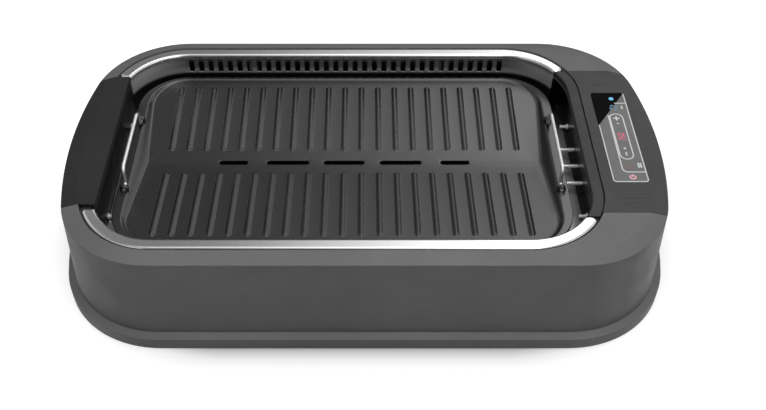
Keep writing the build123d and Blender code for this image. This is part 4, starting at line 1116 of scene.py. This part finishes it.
def blades(centre):
    """Four blades of a small fan sign."""
    pieces = []
    for n in range(4):
        turn = n * quarter + blade_first_turn
        hub = (centre[0] + blade_hub_reach * math.cos(turn), centre[1] + blade_hub_reach * math.sin(turn))
        pieces.append(arc(hub, blade_radius, turn + blade_from, turn + blade_to, blade_steps))
    return pieces


# Seven-segment digits: the ends of each bar, and the bars that are lit
segment_ends = {"a": ((0, 1), (1, 1)), "b": ((1, 1), (1, 0)), "c": ((1, 0), (1, -1)), "d": ((0, -1), (1, -1)),
                "e": ((0, 0), (0, -1)), "f": ((0, 1), (0, 0)), "g": ((0, 0), (1, 0))}
lit_segments = {"3": "abcdg", "5": "acdfg", "0": "abcdef"}
shown_number = "350"


def seven_segment(glyph, centre, place):
    """The bars of one digit, turned so that it reads from the right end."""
    pieces = []
    for key in lit_segments[glyph]:
        ends = []
        for u, v in segment_ends[key]:
            across = place * digit_pitch + (u - 0.5) * digit_width
            ends.append(Vector((centre[0] - v * digit_half_height, centre[1] + across)))
        trim = (ends[1] - ends[0]).normalized() * segment_trim
        pieces.append(ribbon([ends[0] + trim, ends[1] - trim], segment_width))
    return pieces


def make_prints(name, shapes, low_z, material):
    bm = bmesh.new()
    for outline in shapes:
        add_sheet(bm, outline, low_z, low_z + print_high)
    piece = finish_mesh(name, bm, material)
    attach(piece, "base")


def make_film(plan, material):
    centre_x = (plan.low.x + plan.high.x) / 2
    centre_y = (plan.low.y + plan.high.y) / 2
    half_x = (plan.high.x - plan.low.x) / 2
    half_y = (plan.high.y - plan.low.y) / 2
    bm = bmesh.new()
    rings = []
    for inset, z in ((0.0, plan.low.z), (0.0, plan.film_z - film_edge), (film_edge, plan.film_z)):
        outline = rounded_outline(half_x - inset, half_y - inset, film_corner - inset, label_corner_steps)
        rings.append([bm.verts.new((centre_x + x, centre_y + y, z)) for x, y in outline])
    bridge_up(bm, rings)
    bm.faces.new(rings[-1])
    bm.faces.new(rings[0][::-1])
    film = finish_mesh("control_film", bm, material)
    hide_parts("control_label")
    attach(film, "base")


def painted_reflection_outline(plan):
    """The grey field, a painted reflection laid on the film, which covers the front and right of a slanted
    line.
    """
    left_corner = (plan.left + field_corner, plan.front + field_corner)
    right_corner = (plan.right - field_corner, plan.front + field_corner)
    points = [(plan.left, plan.slant_y)]
    points += arc(left_corner, field_corner, 2 * quarter, 3 * quarter, label_corner_steps)
    points += arc(right_corner, field_corner, 3 * quarter, 4 * quarter, label_corner_steps)
    return points + [(plan.right, plan.rear)]


def frame_lines(plan):
    """The line round the field, the shelf near its rear, the bent inner line and the pill."""
    inside_x = plan.right - line_width / 2
    inner_x = plan.left + inner_line_inset
    corner_x = inner_x + inner_line_corner
    corner_y = plan.front + inner_line_front + inner_line_corner
    shelf = [(plan.right - shelf_length, plan.shelf_y), (inside_x, plan.shelf_y)]
    inner = [(inner_x + inner_line_lean, plan.slant_y + inner_line_rise)]
    inner += arc((corner_x, corner_y), inner_line_corner, 2 * quarter, 3 * quarter, line_corner_steps)
    inner += [(inside_x, plan.front + inner_line_front)]
    pill_place = (plan.pill_x, plan.front + pill_front)
    pill = stadium(pill_place, pill_half_length, pill_half_width, False, line_corner_steps)
    lines = [ribbon(points, line_width) for points in (painted_reflection_outline(plan), shelf, inner)]
    return lines + [closed_ribbon(pill, line_width)]


def white_marks(plan):
    """Plus and minus with their dots, and the small bars beside the signs."""
    plus_y = plan.front + plus_front
    minus_y = plan.front + minus_front
    marks = [plus_outline((plan.pill_x, plus_y)),
             circle((plan.pill_x, plus_y - plus_dot_drop), plus_dot_radius),
             bar(plan.pill_x, minus_y, minus_length),
             circle((plan.pill_x, minus_y + minus_dot_rise), minus_dot_radius),
             bar(plan.right - shelf_bar_inset, plan.shelf_y - shelf_bar_drop, shelf_bar_length)]
    for inset in pair_bar_insets:
        marks.append(bar(plan.right - inset, plan.front + pair_bar_front, pair_bar_length))
    return marks


def make_lit_marks(plan, materials):
    """The lit marks: temperature digits, power ring, lamp dot, fan sign and heat sign."""
    digits = []
    for n, glyph in enumerate(shown_number):
        digits += seven_segment(glyph, (plan.pill_x, plan.front + digits_front), n - 1)
    make_prints("lit_digits", digits, plan.print_z, materials["red"])
    power_y = plan.front + power_front
    ring = arc((plan.pill_x, power_y), power_radius, *power_ring_turns, power_ring_steps)
    power = [ribbon(ring, mark_width), bar(plan.pill_x, power_y + power_bar_rise, power_bar_length)]
    make_prints("power_mark", power, plan.print_z, materials["print_red"])
    lamp = circle((plan.pill_x, plan.shelf_y + lamp_rise), lamp_radius)
    make_prints("lamp_mark", [lamp], plan.print_z, materials["lamp_blue"])
    fan_sign = blades((plan.pill_x, plan.shelf_y - fan_sign_drop))
    make_prints("fan_mark", fan_sign, plan.print_z, materials["print_blue"])
    heat_sign = blades((plan.pill_x - heat_sign_shift, plan.front + heat_sign_front))
    make_prints("heat_mark", heat_sign, plan.print_z, materials["print_dim"])


def make_label(materials):
    plan = LabelPlan()
    make_film(plan, materials["film"])
    # The grey field is a painted reflection on the film
    make_prints("label_painted_reflection", [painted_reflection_outline(plan)], plan.film_z, materials["painted_reflection_grey"])
    make_prints("label_lines", frame_lines(plan) + white_marks(plan), plan.print_z, materials["print_white"])
    make_lit_marks(plan, materials)


bpy.context.scene.view_settings.view_transform = "Standard"
make_camera()
materials = make_materials()
make_world()
make_floor()
make_lamps()
dress_nodes(materials)
make_plate(materials["nonstick"])
make_label(materials)
